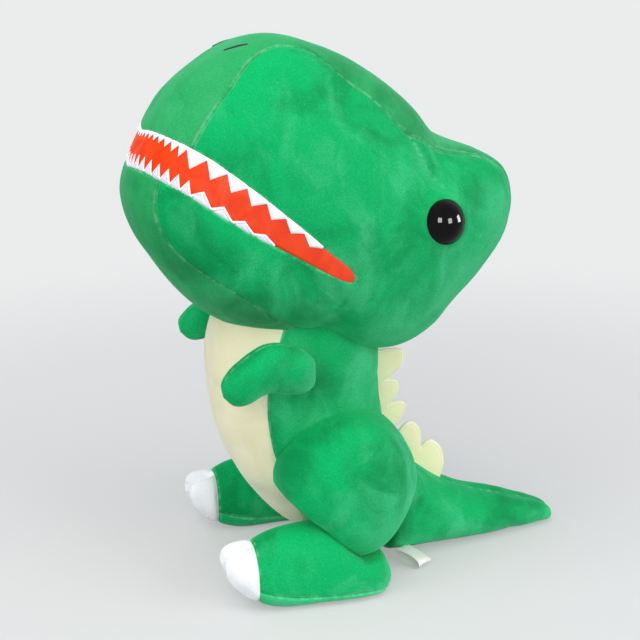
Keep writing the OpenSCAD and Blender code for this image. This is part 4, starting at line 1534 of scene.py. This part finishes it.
    def build_teeth(self, upper: bool, row_of: TeethRow) -> bpy.types.Object:
        """One felt strip with a saw edge, sewn along a lip.

        Args:
            upper: for the upper lip, or for the lower one.
            row_of: how the teeth follow each other from the middle outwards.

        Returns:
            The object.
        """
        turns, way = self.lip_turns(upper)
        notches, heights = row_of.notches(), row_of.heights()
        fine, across = 22, 12
        half = np.interp(np.arange(fine * len(heights) + 1) / fine, np.arange(len(notches)), notches)
        s = np.concatenate([-half[:0:-1], half])
        k = np.interp(np.abs(s), notches, np.arange(len(notches)))
        tooth = np.clip(k.astype(int), 0, len(heights) - 1)
        saw = 1 - np.abs(2 * (k - tooth) - 1)
        reach = self.gum + (heights[tooth] - self.gum) * saw
        t = np.sign(s) * np.interp(np.abs(s), way, turns)
        high, f = np.meshgrid(reach, np.linspace(0, 1, across + 1), indexing="ij")
        drop = -HEM + (high + HEM) * f
        slope = np.arctan2(np.gradient(reach, s), 1)
        edge = np.maximum(high * (1 - f) * np.cos(slope)[:, None], 0)
        puff = 0.3 * (1 - np.exp(-edge / 0.9)) * smooth_step(np.abs(s), 20, 60)[:, None]
        lift = self.felt * (1 - np.exp(-(edge + 0.15) / 0.5)) + puff - 1.35 - 0.9 * hump(drop + HEM, 1)
        if not upper:
            lift = lift - 0.3 * hump(edge - 1.6, 0.4)
        place = self.form.lip_spot(t[:, None] + 0 * f, upper, lift, drop)
        bm = grid_mesh(rows(place))
        mark(bm, "edge", edge * (0 if upper else 1))
        drop_numbers(bm)
        face_outwards(bm, row(HEAD_MIDDLE))
        bmesh.ops.solidify(bm, geom=bm.faces[:], thickness=self.strip * MM)
        return make_object("upper_felt_teeth" if upper else "lower_felt_teeth", bm, sharp=50)

    def build_eye(self, side: Side) -> bpy.types.Object:
        """A glossy dome with a rolled rim on its shank, spun from its outline.

        Args:
            side: side of the head.

        Returns:
            The eye.
        """
        ball = (self.eye_r**2 + self.eye_rise**2) / (2 * self.eye_rise)
        arc = np.linspace(0, math.asin(self.eye_r / ball), 20)
        outline = [(ball * math.sin(a), self.eye_rise - ball + ball * math.cos(a)) for a in arc]
        outline += [(self.eye_r + 0.25, -0.25), (self.eye_r + 0.1, -0.7), (self.eye_r - 0.8, -0.95),
                    (2.6, -1.0), (2.4, -1.4), (2.4, -7.6), (2.0, -8.0), (0, -8.0)]
        bm = bmesh.new()
        chain = [bm.verts.new((x * MM, 0, z * MM)) for x, z in outline]
        for a, b in zip(chain[:-1], chain[1:]):
            bm.edges.new((a, b))
        bmesh.ops.spin(bm, geom=bm.verts[:] + bm.edges[:], cent=(0, 0, 0), axis=(0, 0, 1), angle=2 * math.pi,
                       steps=72, use_merge=True)
        bmesh.ops.remove_doubles(bm, verts=bm.verts[:], dist=1e-6)
        bmesh.ops.recalc_face_normals(bm, faces=bm.faces[:])
        middle, n = self.eye_frame(side)
        turn = Vector((0, 0, 1)).rotation_difference(Vector(n)).to_matrix().to_4x4()
        bm.transform(Matrix.Translation(row(middle + n * self.eye_lift)) @ turn)
        return make_object(f"{side.word}_eye_dome", bm, sharp=40)

    def build_nostril(self, side: Side, crown: bpy.types.Object) -> bpy.types.Object:
        """A short bar of satin stitch on the crown's cloth, its threads side by side on the slant.

        Args:
            side: side of the head.
            crown: the cloth that it is sewn on.

        Returns:
            The stitches.
        """
        a, b = self.form.at(64, 12, 0.9), self.form.at(70, 16, 0.9)
        middle, along = (a + b) / 2, (b - a) / np.linalg.norm(b - a)
        up = middle - np.array([0, self.form.middle_y, self.form.middle_z])
        up = up / np.linalg.norm(up)
        across = np.cross(up, along)
        away = Vector(up * side.flip)
        half, turns, fat, above = 9.6, 22, 0.42, 0.02
        thread = bmesh.new()
        bmesh.ops.create_cone(thread, cap_ends=True, segments=8, radius1=1, radius2=1, depth=2)
        rims = [e for e in thread.edges if abs(e.verts[0].co.z - e.verts[1].co.z) < 0.5]
        bmesh.ops.bevel(thread, geom=rims, offset=0.45, affect="EDGES", segments=2, profile=0.5, material=-1)
        one = bpy.data.meshes.new("thread")
        thread.to_mesh(one)
        thread.free()
        bm = bmesh.new()
        for k in range(turns):
            share = (k + 0.5) / turns * 2 - 1
            wide = 1.45 * math.sqrt(max(1 - share**2 * 0.85, 0.05))
            done = len(bm.verts)
            bm.from_mesh(one)
            bm.verts.ensure_lookup_table()
            for vert in bm.verts[done:]:
                x, y, z = vert.co
                p = middle + along * (share * half + fat * 1.15 * x + 0.35 * z) + across * (wide * z)
                start = row(p * side.flip) + away * above
                hit, on, _, _ = crown.ray_cast(start, -away)
                high = fat * 1.3 * y + 0.35 * (1 - z * z)
                vert.co = (on if hit else start - away * above) + away * high * MM
        bpy.data.meshes.remove(one)
        bmesh.ops.recalc_face_normals(bm, faces=bm.faces[:])
        return make_object(f"{side.word}_nostril_stitches", bm)

    def core(self, u: Array, v: Array) -> Array:
        """The filling's face, pressed in at the eyes: u from cheek to cheek, v round the head.

        Args:
            u: share from cheek to cheek.
            v: share round the head.

        Returns:
            Points.
        """
        t, a = (2 * u - 1) * 89.9, 20 + 360 * v
        off = on_left(self.form.at(a, t, CORE_DEPTH)) - self.eye_frame(Side.LEFT)[0]
        deep, wide = self.eye_dent
        dent = deep * np.exp(-((np.linalg.norm(off, axis=-1) / wide) ** 4))
        return self.form.at(a, t, CORE_DEPTH + dent)

    def build(self) -> list[bpy.types.Object]:
        """Builds, dresses and mounts the head's pieces.

        Returns:
            The head's pieces.
        """
        fit = self.wardrobe.fit
        made = [fit(cut.build(), slot, "head", FIRM, node) for cut, slot, node in self.panels()]
        crown = made[2]
        strips = ((True, self.upper_row, "upper_teeth"), (False, self.lower_row, "lower_teeth"))
        for upper, row_of, node in strips:
            obj = fit(self.build_teeth(upper, row_of), "white_felt", "head", 0, node)
            length, tall, area = row_of.flat(self.gum)
            made.append(obj)
        for side in Side:
            eye, nostril = self.build_eye(side), self.build_nostril(side, crown)
            made.append(fit(eye, "black_plastic", "head", 0, f"eye_{side.word}"))
            made.append(fit(nostril, "black_thread", "head", 0, f"nostril_{side.word}"))
        core = filling("head_filling", self.core, (48, 72))
        return [*made, fit(core, "stuffing", "head", FIRM, "head_stuffing")]


@dataclass
class Trunk:
    """The body with its belly, neck and back crest."""

    wardrobe: Wardrobe
    head: HeadForm
    form: BodyForm = field(default_factory=BodyForm)
    bottom: float = 24
    bottom_y: float = 36
    closing: float = 0.04  # share of a panel that closes the bottom
    tuck_front: float = 5
    tuck_back: float = 14
    body_bend: Bend = Bend("torso", "neck", (0, 0, 112), (0, 0, 169))
    neck_bend: Bend = Bend("neck", "head", (0, 0, NECK_LINE), (0, 0, 189))
    core_y: float = 15
    core_end: float = 0.12  # share of the filling that closes each of its ends
    neck_middle: float = 200
    knots: tuple[tuple[float, float], ...] = ((83, 181), (84.5, 152), (87.5, 127), (95, 106))
    heights: tuple[float, ...] = (25, 19, 22)

    def turn(self, z: Array, v: Array, belly: bool) -> Array:
        """Turn of a place across a panel: the belly's v is -1 to 1, a side's v is 0 to 1."""
        edge = self.form.belly_edge.at(z)
        return v * edge if belly else edge + (180 - edge) * v

    def body_spot(self, belly: bool) -> Spot:
        """A body panel: u from the bottom point up to the neck line.

        Args:
            belly: the belly's panel, not a side's.

        Returns:
            The panel's face.
        """
        def spot(u: Array, v: Array, d: Array) -> Array:
            """The panel's points.

            Args:
                u: share along the cut.
                v: share across the cut.
                d: depth under the face.

            Returns:
                Points.
            """
            share, up = split(u, self.closing)
            z = self.bottom + (NECK_LINE - self.bottom) * up
            p = self.form.at(z, self.turn(z, 2 * v - 1 if belly else v, belly), d)
            return towards(points(0, self.bottom_y, self.bottom + d), p, share)
        return spot

    def neck_top(self, t: Array, d: Array) -> Array:
        """Height where the neck's cloth ends inside the head.

        Args:
            t: turn, in degrees.
            d: depth under the face.

        Returns:
            Heights.
        """
        z = np.full(np.shape(t), 215.0)
        for _ in range(10):
            p = self.form.at(z, t, d)
            z = (z + self.head.under(p[..., 0], p[..., 1])) / 2
        back = (1 - cosd(t)) / 2
        return z + self.tuck_front + (self.tuck_back - self.tuck_front) * back

    def neck_spot(self, belly: bool) -> Spot:
        """A neck panel: u from the neck line up into the head.

        Args:
            belly: the throat's panel, not a side's.

        Returns:
            The panel's face.
        """
        def spot(u: Array, v: Array, d: Array) -> Array:
            """The panel's points.

            Args:
                u: share along the cut.
                v: share across the cut.
                d: depth under the face.

            Returns:
                Points.
            """
            place = 2 * v - 1 if belly else v
            t = self.turn(np.full_like(u, self.neck_middle), place, belly)
            z = NECK_LINE + (self.neck_top(t, 0 * t) - NECK_LINE) * u
            return self.form.at(z, self.turn(z, place, belly), d)
        return spot

    def cloth(self) -> list[tuple[Cut, str, Bend, str]]:
        """The cuts with their finish, how they bend and the node that they stand for.

        Returns:
            Each cut with its finish, its bend and its node.
        """
        rise, high = (0, 15, 110), (0, 5, 190)
        made = [
            (Cut("belly_cloth", self.body_spot(True), (120, 84), rise, OPEN, OPEN, seed=21.0, swell=1.5),
             "cream_plush", self.body_bend, "belly_panel"),
            (Cut("throat_cloth", self.neck_spot(True), (50, 84), high, OPEN, OPEN, seed=21.0, swell=0.8),
             "cream_plush", self.neck_bend, "neck_front")]
        for side in Side:
            word, seed = side.word, 23.0 + side.value
            made += [
                (Cut(f"{word}_flank_cloth", sided(side, self.body_spot(False)), (120, 110), rise, OPEN, OPEN,
                     seed=seed), "green_plush", self.body_bend, f"body_side_{word}"),
                (Cut(f"{word}_neck_cloth", sided(side, self.neck_spot(False)), (50, 110), high, OPEN, OPEN,
                     seed=seed, swell=0.8), "green_plush", self.neck_bend, f"neck_side_{word}")]
        return made

    def core(self, low: float, high: float) -> Core:
        """The filling between two heights, closed at both ends.

        Args:
            low: height of its bottom.
            high: height of its top.

        Returns:
            The filling's face.
        """
        def spot(u: Array, v: Array) -> Array:
            """Its points: u up it and v round it.

            Args:
                u: share up it.
                v: share round it.

            Returns:
                Points.
            """
            z = low + (high - low) * np.clip((u - self.core_end) / (1 - 2 * self.core_end), 0, 1)
            share = np.clip(np.minimum(u, 1 - u) / self.core_end, 0, 1) ** 0.6
            return towards(points(0, self.core_y, z), self.form.at(z, 360 * v, CORE_DEPTH), share)
        return spot

    def build(self) -> list[bpy.types.Object]:
        """Builds and dresses the body's and neck's pieces; only the body's filling is mounted, on the torso.

        Returns:
            The body's and neck's pieces.
        """
        fit = self.wardrobe.fit
        made = [fit(cut.build(), slot, bend, SOFT, node) for cut, slot, bend, node in self.cloth()]
        body = filling("body_filling", self.core(28, 166), (40, 72))
        neck = filling("neck_filling", self.core(174, 198), (16, 72))
        crest = crest_strip("back_crest", self.knots, self.heights,
                            lambda p: (float(self.form.back(p[1])) - SEWN_IN, p[1]))
        return [*made, fit(body, "stuffing", "torso", SOFT, "body_stuffing"),
                fit(neck, "stuffing", self.neck_bend, SOFT, "neck_plug", "neck_stuffing"),
                fit(crest, "crest_felt", self.body_bend, THIN, "spine_crest")]


LUMP = ((0.0, 0.34), (0.015, 0.56), (0.05, 0.78), (0.12, 0.93), (0.23, 1.0), (0.38, 1.0), (0.53, 0.94),
        (0.68, 0.82), (0.81, 0.65), (0.91, 0.48), (0.97, 0.37), (1.0, 0.34))


def crest_strip(name: str, knots: Sequence[tuple[float, float]], heights: Sequence[float],
                foot: Callable[[tuple[float, float]], tuple[float, float]],
                half: float = 2.7) -> bpy.types.Object:
    """A strip of felt lumps, two layers sewn round a thin filling.

    Args:
        name: the piece's name.
        knots: along and height of the notches between the lumps.
        heights: how far each lump stands out.
        foot: gives the sewn-in point below a point of the notch line.
        half: half the thickness in the middle of a lump.

    Returns:
        The object.
    """
    outer, base = [], []
    for k, high in enumerate(heights):
        a, b = np.array(knots[k], float), np.array(knots[k + 1], float)
        u = (b - a) / np.linalg.norm(b - a)
        n = np.array([-u[1], u[0]])
        n = n if n[0] > 0 else -n
        shape = Curve([(i, x, y) for i, (x, y) in enumerate(LUMP)])
        for s in np.linspace(0, len(LUMP) - 1, 60)[(1 if k else 0):]:
            along, out = float(shape.at(s, 1)), float(shape.at(s, 2))
            on = a + (b - a) * np.clip(along, 0, 1)
            outer.append(on + n * high * max(out, 0.05))
            base.append(foot((float(on[0]), float(on[1]))))
    outer, base = np.array(outer), np.array(base)
    across = 16
    f = 1 - (1 - np.linspace(0, 1, across + 1)) ** 1.7
    place = base[:, None] + (outer - base)[:, None] * f[None, :, None]
    gap = line_gap(place, outer)
    for end in (0, -1):
        gap = np.minimum(gap, line_gap(place, np.array([base[end], outer[end]])))
        gap[end] = 0
    gap[:, -1] = 0
    thick = np.maximum(half * dome(1 - gap / 3.2) - 0.45 * hump(gap - CREST_STITCH, 0.7), 0)
    bm = grid_mesh(rows(points(thick, place[..., 0], place[..., 1])))
    mark(bm, "edge", gap)
    drop_numbers(bm)
    bmesh.ops.mirror(bm, geom=bm.verts[:] + bm.edges[:] + bm.faces[:], axis="X", merge_dist=1e-5)
    bmesh.ops.remove_doubles(bm, verts=bm.verts[:], dist=MERGE)
    bmesh.ops.holes_fill(bm, edges=[e for e in bm.edges if e.is_boundary], sides=0)
    bmesh.ops.recalc_face_normals(bm, faces=bm.faces[:])
    return make_object(name, bm, sharp=75)


@dataclass
class Tail:
    """The tail with its crest and the folded label at its root."""

    wardrobe: Wardrobe
    form: TailForm = field(default_factory=TailForm)
    root: float = 74
    tip: float = 259.6
    round_root: float = 14  # how long the rounding at the root is
    round_tip: float = 9.6  # and the one at the tip
    core_root: float = 12  # how far from the root the filling starts
    core_tip: float = 10  # and how far from the tip it ends
    core_ends: tuple[float, float] = (0.06, 0.04)  # shares of the filling that close its two ends
    bend: Bend = Bend("torso", "tail", (0, 85, 48), (0, 125, 48))
    knots: tuple[tuple[float, float], ...] = ((100.5, 98.5), (122, 81), (145.5, 62.5))
    heights: tuple[float, ...] = (21, 18)
    tag_at: tuple[float, float, float] = (42.6, 94, 10.7)
    tag_width: float = 17
    tag_length: float = 27
    tag_open: float = 8.5
    tag_thick: float = 0.45
    tag_turn: tuple[float, float] = (32, 14)  # degrees about the upright and about the cross axis

    def along(self, u: Array) -> Array:
        """Place along the tail, closer together at the tip."""
        return self.root + (self.tip - self.root) * (1 - (1 - u) ** 1.5)

    def half(self, side: Side) -> Spot:
        """One side's cut: v 0 on top and 1 underneath.

        Args:
            side: side of the tail.

        Returns:
            The cut's face.
        """
        def spot(u: Array, v: Array, d: Array) -> Array:
            """The cut's points.

            Args:
                u: share along the cut.
                v: share across the cut.
                d: depth under the face.

            Returns:
                Points.
            """
            y = self.along(u)
            near_tip = 1 - (self.tip - y) / self.round_tip
            near_root = 1 - (y - self.root) / self.round_root
            p = towards(points(0, self.tip - d, 5), self.form.at(y, 180 * v, d), dome(near_tip))
            return towards(points(0, self.root + d, self.form.top(y) / 2), p, dome(near_root))
        return sided(side, spot)

    def core(self, u: Array, v: Array) -> Array:
        """The filling's face.

        Args:
            u: share along it.
            v: share round it.

        Returns:
            Points.
        """
        first, last = self.core_ends
        low, high = self.root + self.core_root, self.tip - self.core_tip
        y = low + (high - low) * np.clip((u - first) / (1 - first - last), 0, 1)
        share = np.clip(np.minimum(u / first, (1 - u) / last), 0, 1) ** 0.6
        return towards(points(0, y, self.form.top(y) / 2), self.form.at(y, 360 * v, CORE_DEPTH), share)

    def build_tag(self) -> bpy.types.Object:
        """A bare ribbon label: one loop, its two ends sewn into the seam.

        Returns:
            The label.
        """
        u, v = np.meshgrid(np.linspace(0, 1, 65), np.linspace(-1, 1, 19), indexing="ij")
        turn = 2 * np.pi * u
        x = self.tag_length * (1 - np.cos(turn)) / 2
        z = -self.tag_open / 2 * np.sin(turn) * (0.35 + 0.65 * np.sin(np.pi * u) ** 2) * (1 - 0.45 * v)
        z = z + 0.8 + 0.5 * np.sin(2.2 * v + 3 * u)
        bm = grid_mesh(points(x, self.tag_width / 2 * v, z) * MM)
        drop_numbers(bm)
        bmesh.ops.solidify(bm, geom=bm.faces[:], thickness=self.tag_thick * MM)
        yaw, pitch = (math.radians(angle) for angle in self.tag_turn)
        spin = Matrix.Rotation(yaw, 4, "Z") @ Matrix.Rotation(pitch, 4, "Y")
        bm.transform(Matrix.Translation(row(self.tag_at)) @ spin)
        return make_object("ribbon_label", bm, sharp=50)

    def build(self) -> list[bpy.types.Object]:
        """Builds and dresses the tail's pieces; none is mounted on a body.

        Returns:
            The tail's pieces.
        """
        fit = self.wardrobe.fit
        made = []
        for side in Side:
            cut = Cut(f"{side.word}_tail_cloth", self.half(side), (150, 70), (0, 120, 30), OPEN, OPEN,
                      seed=31.0 + side.value, swell=2.0)
            made.append(fit(cut.build(), "green_plush", self.bend, SOFT, "tail_skin"))
        core = filling("tail_filling", self.core, (48, 48))
        crest = crest_strip("tail_crest_strip", self.knots, self.heights,
                            lambda p: (p[0], float(self.form.top(p[0])) - SEWN_IN))
        made.append(fit(core, "stuffing", self.bend, SOFT, "tail_stuffing"))
        made.append(fit(crest, "crest_felt", self.bend, THIN, "tail_crest"))
        tag = fit(self.build_tag(), "label_ribbon", self.bend, 0, "care_tag")
        return [*made, tag]


@dataclass
class Arms:
    """The two arms, each on its own body, cut as an outer and an inner half."""

    wardrobe: Wardrobe
    form: ArmForm = field(default_factory=ArmForm)
    cloth_reach: float = 3.95  # stations from the arm's middle to the cloth's end
    core_reach: float = 3.2  # and to the filling's

    def station(self, u: Array, reach: float) -> Array:
        """Station along the arm, closer together at its two ends."""
        return 4 - reach * np.cos(np.pi * u)

    def half(self, side: Side, outer: bool) -> Spot:
        """One half's cut: u from the shoulder to the hand, v from the upper seam to the lower.

        Args:
            side: side of the body.
            outer: the outer half, not the inner.

        Returns:
            The cut's face.
        """
        def spot(u: Array, v: Array, d: Array) -> Array:
            """The cut's points."""
            s = self.station(u, self.cloth_reach)
            return self.form.at(s, 180 * v if outer else 360 - 180 * v, d)
        return sided(side, spot)

    def core(self, side: Side) -> Core:
        """The filling's face.

        Args:
            side: side of the body.

        Returns:
            The filling's face.
        """
        def spot(u: Array, v: Array) -> Array:
            """Its points: u along it and v round it."""
            return self.form.at(self.station(u, self.core_reach), 360 * v, CORE_DEPTH) * side.flip
        return spot

    def build(self) -> list[bpy.types.Object]:
        """Builds, dresses and mounts the arms.

        Returns:
            The arms' pieces.
        """
        fit = self.wardrobe.fit
        made = []
        for side in Side:
            word, body = side.word, f"arm_{side.word}"
            inside = (side.value * (self.form.middle_x + 1), -35, 200)
            for outer in (True, False):
                part, swell = ("outer", 1.6) if outer else ("inner", 0.8)
                cut = Cut(f"{word}_arm_{part}_cloth", self.half(side, outer), (90, 56), inside, OPEN, OPEN,
                          seed=41.0 + side.value + outer, swell=swell)
                made.append(fit(cut.build(), "green_plush", body, SOFT, f"arm_skin_{word}"))
            core = filling(f"{word}_arm_filling", self.core(side), (32, 36))
            made.append(fit(core, "stuffing", body, SOFT, f"arm_stuffing_{word}"))
        return made


@dataclass
class Legs:
    """The two thighs with their feet; they ride on the torso."""

    wardrobe: Wardrobe
    body: BodyForm
    form: LegForm = field(default_factory=LegForm)
    nose: float = -74
    heel: float = 71
    blunt: float = 2  # the last stretch of the foot that closes to a point
    inner_x: float = 44  # where the cut's face on the body ends
    inner_share: float = 0.12  # share of the cut that lies on the body
    core_x: float = 62
    core_share: float = 0.15

    def thigh_spot(self, side: Side) -> Spot:
        """The thigh's cut: u from its middle on the body over the rim to its middle outside, v round it.

        Args:
            side: side of the body.

        Returns:
            The cut's face.
        """
        def spot(u: Array, v: Array, d: Array) -> Array:
            """The cut's points.

            Args:
                u: share along the cut.
                v: share across the cut.
                d: depth under the face.

            Returns:
                Points.
            """
            share, over = split(u, self.inner_share)
            p = self.form.thigh(self.body, -60 + 360 * v, 90 * over, d)
            return towards(points(self.inner_x + d, self.form.thigh_y, self.form.thigh_z), p, share)
        return sided(side, spot)

    def foot_spot(self, side: Side, low: float, high: float, first: float, last: float) -> Spot:
        """A cut of the foot between two places along it and two turns round it.

        Args:
            side: side of the body.
            low: place where it starts.
            high: place where it ends.
            first: turn where it starts.
            last: turn where it ends.

        Returns:
            The cut's face.
        """
        def spot(u: Array, v: Array, d: Array) -> Array:
            """The cut's points, closed to one point at the nose and the heel.

            Args:
                u: share along the cut.
                v: share across the cut.
                d: depth under the face.

            Returns:
                Points.
            """
            form, y0 = self.form, low + (high - low) * u
            p = form.foot_at(y0, first + (last - first) * v, d)
            near = (y0 - (self.heel - self.blunt)) / self.blunt, (self.nose + self.blunt - y0) / self.blunt
            share = dome(np.maximum(*near))
            p = towards(points(form.foot_x, y0, form.foot.at(y0, 4)), p, share)
            drawn_in = y0 + form.toe_notch * form.pressed(y0, p[..., 0] - form.foot_x)
            p[..., 1] = np.where(share < 1, drawn_in, p[..., 1])
            return p
        return sided(side, spot)

    def cores(self, side: Side) -> list[tuple[str, Core, str]]:
        """The fillings of the thigh and the foot.

        Args:
            side: side of the body.

        Returns:
            Each filling's name, face and node.
        """
        form = self.form

        def thigh(u: Array, v: Array) -> Array:
            """The thigh's filling.

            Args:
                u: share over it.
                v: share round it.

            Returns:
                Points.
            """
            share, over = split(u, self.core_share)
            p = form.thigh(self.body, -60 + 360 * v, 90 * over, CORE_DEPTH)
            return towards(points(self.core_x, form.thigh_y, form.thigh_z), p, share) * side.flip

        def foot(u: Array, v: Array) -> Array:
            """The foot's filling."""
            return form.foot_at(-66 + 130 * u, 360 * v, CORE_DEPTH) * side.flip
        return [(f"{side.word}_thigh_filling", thigh, f"thigh_stuffing_{side.word}"),
                (f"{side.word}_foot_filling", foot, f"foot_stuffing_{side.word}")]

    def build(self) -> list[bpy.types.Object]:
        """Builds, dresses and mounts the legs.

        Returns:
            The legs' pieces.
        """
        fit, form = self.wardrobe.fit, self.form
        made = []
        for side in Side:
            word = side.word
            hip = (side.value * 60, form.thigh_y, form.thigh_z)
            foot = (side.value * form.foot_x, 0, 22)
            toe = (side.value * form.foot_x, form.toe_edge, 30)
            upper = self.foot_spot(side, form.toe_edge, self.heel, 0, 180)
            sole = self.foot_spot(side, form.toe_edge, self.heel, 180, 360)
            nose = self.foot_spot(side, self.nose, form.toe_edge, 0, 360)
            cuts = [
                (Cut(f"{word}_thigh_cloth", self.thigh_spot(side), (90, 200), hip, OPEN, OPEN, OPEN, OPEN,
                     seed=51.0 + side.value), "green_plush", f"thigh_skin_{word}"),
                (Cut(f"{word}_foot_cloth", upper, (110, 90), foot, SEWN, OPEN, seed=53.0 + side.value,
                     swell=1.4), "green_plush", f"foot_upper_{word}"),
                (Cut(f"{word}_sole_cloth", sole, (110, 90), foot, SEWN, OPEN, seed=55.0 + side.value,
                     swell=0), "sole_plush", f"sole_{word}"),
                (Cut(f"{word}_toe_cloth", nose, (60, 150), toe, OPEN, SEWN, OPEN, OPEN,
                     seed=57.0 + side.value, swell=0.4), "white_plush", f"toe_cap_{word}"),
            ]
            made += [fit(cut.build(), slot, "torso", FIRM, node) for cut, slot, node in cuts]
            made += [fit(filling(name, spot, (36, 48)), "stuffing", "torso", FIRM, node)
                     for name, spot, node in self.cores(side)]
        return made


# ---------- studio ----------
@dataclass(frozen=True)
class Studio:
    """A plain pale floor, soft light and the camera."""

    eye: tuple[float, float, float] = (1.0002, -0.3288, 0.521)
    azimuth: float = 73.5
    pitch: float = 16.5
    lens: float = 72.0
    pale: Colour = (0.83, 0.835, 0.84)

    def shown(self, bench: Bench) -> bpy.types.NodeSocket:
        """Where the surroundings are looked at, straight or through a shine.

        Args:
            bench: bench to build on.

        Returns:
            1 where they are looked at.
        """
        path = bench.add("LightPath").outputs
        shine = bench.sum("MAXIMUM", path["Is Glossy Ray"], path["Is Transmission Ray"])
        return bench.sum("MAXIMUM", path["Is Camera Ray"], shine)

    def build_floor(self) -> None:
        """A pale floor that keeps the animal's shadow and fades into the surroundings."""
        bm = bmesh.new()
        bmesh.ops.create_grid(bm, x_segments=2, y_segments=2, size=6)
        bmesh.ops.translate(bm, verts=bm.verts[:], vec=(0, 0, -0.0003))
        floor = make_object("floor", bm)
        made, bench, place = blank("pale floor")
        soft = bench.ramp(bench.noise(place, 3.0), 0.3, 0.7, 0.0, 0.4)
        colour = bench.mix(soft, srgb(214, 214, 214), srgb(211, 211, 212))
        lit = bench.add("BsdfPrincipled", {"Base Color": colour, "Roughness": 0.75})
        glow = bench.add("Emission", {"Color": (*self.pale, 1.0), "Strength": self.shown(bench)})
        far = bench.add("VectorMath", {0: place}, operation="LENGTH").outputs["Value"]
        both = bench.add("MixShader", {0: bench.ramp(far, 0.25, 1.15, 0.35, 1.0), 1: lit.outputs[0],
                                       2: glow.outputs[0]})
        bench.add("OutputMaterial", {"Surface": both.outputs[0]})
        floor.data.materials.append(made)

    def build_world(self) -> None:
        """Even pale surroundings, lighting softly."""
        world = bpy.data.worlds.new("pale room")
        bpy.context.scene.world = world
        world.use_nodes = True
        bench = Bench(world.node_tree)
        glow = bench.add("Background", {"Color": (0.92, 0.95, 1.0), "Strength": 0.45})
        wall = bench.add("Background", {"Color": (*self.pale, 1.0), "Strength": 1.0})
        both = bench.add("MixShader", {0: self.shown(bench), 1: glow.outputs[0], 2: wall.outputs[0]})
        bench.add("OutputWorld", {"Surface": both.outputs[0]})

    def lamp(self, name: str, place: tuple[float, float, float], aim: tuple[float, float, float],
             size: tuple[float, float], power: float, mirrored_in: bool = False) -> None:
        """A soft rectangular lamp that looks at a point: it lights, or it only shows in shiny parts.

        Args:
            name: the lamp's name.
            place: where it stands, in metres.
            aim: point that it looks at.
            size: width and height.
            power: its power in watts.
            mirrored_in: it only shows in shiny parts.
        """
        data = bpy.data.lights.new(name, "AREA")
        data.shape = "RECTANGLE"
        data.size, data.size_y = size
        data.energy = power
        obj = bpy.data.objects.new(name, data)
        way = Vector(aim) - Vector(place)
        obj.matrix_world = Matrix.Translation(place) @ way.to_track_quat("-Z", "Y").to_matrix().to_4x4()
        obj.visible_glossy, obj.visible_diffuse = mirrored_in, not mirrored_in
        bpy.context.scene.collection.objects.link(obj)

    def build(self) -> None:
        """Floor, surroundings, lamps and camera."""
        self.build_floor()
        self.build_world()
        middle, eye = (0.0, 0.0, 0.25), (0.09, 0.045, 0.31)
        for name, place, size, power in (
                ("top", (0.55, -0.45, 1.9), (1.6, 1.6), 17), ("side", (1.4, 1.3, 0.9), (1.2, 1.2), 17),
                ("front", (0.5, -1.8, 0.8), (1.2, 1.0), 11), ("camera", (2.0, -1.1, 1.3), (1.0, 1.0), 12)):
            self.lamp(f"{name} soft box", place, middle, size, power)
        panes = (((1.385, -0.537, 0.83), 0.47), ((1.415, 0.671, 0.667), 0.47), ((0.435, 1.49, 0.57), 0.44))
        for k, (place, wide) in enumerate(panes):
            self.lamp(f"window pane {k + 1}", place, eye, (wide, 0.56), 90 * wide, mirrored_in=True)
        data = bpy.data.cameras.new("camera")
        data.lens, data.sensor_width = self.lens, 36.0
        camera = bpy.data.objects.new("camera", data)
        camera.location = self.eye
        camera.rotation_euler = (math.radians(90 - self.pitch), 0, math.radians(self.azimuth))
        bpy.context.scene.collection.objects.link(camera)
        bpy.context.scene.camera = camera
        bpy.context.scene.view_settings.view_transform = "Standard"


def main() -> None:
    """Loads the frame and builds the animal, part by part."""
    logging.basicConfig(level=logging.INFO, format="%(message)s")
    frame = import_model()
    Studio().build()
    wardrobe = Wardrobe()
    head = Head(wardrobe)
    trunk = Trunk(wardrobe, head.form)
    for part in (head, trunk, Tail(wardrobe), Arms(wardrobe), Legs(wardrobe, trunk.form)):
        for obj in part.build():
            log.info("%s: %s, %d faces", type(part).__name__, obj.name, len(obj.data.polygons))
    for side in Side:
        node = frame["nodes"][f"eye_washer_{side.word}"]
        node.data.materials.clear()
        node.data.materials.append(wardrobe.finishes["washer_plastic"])


if __name__ == "__main__":
    main()
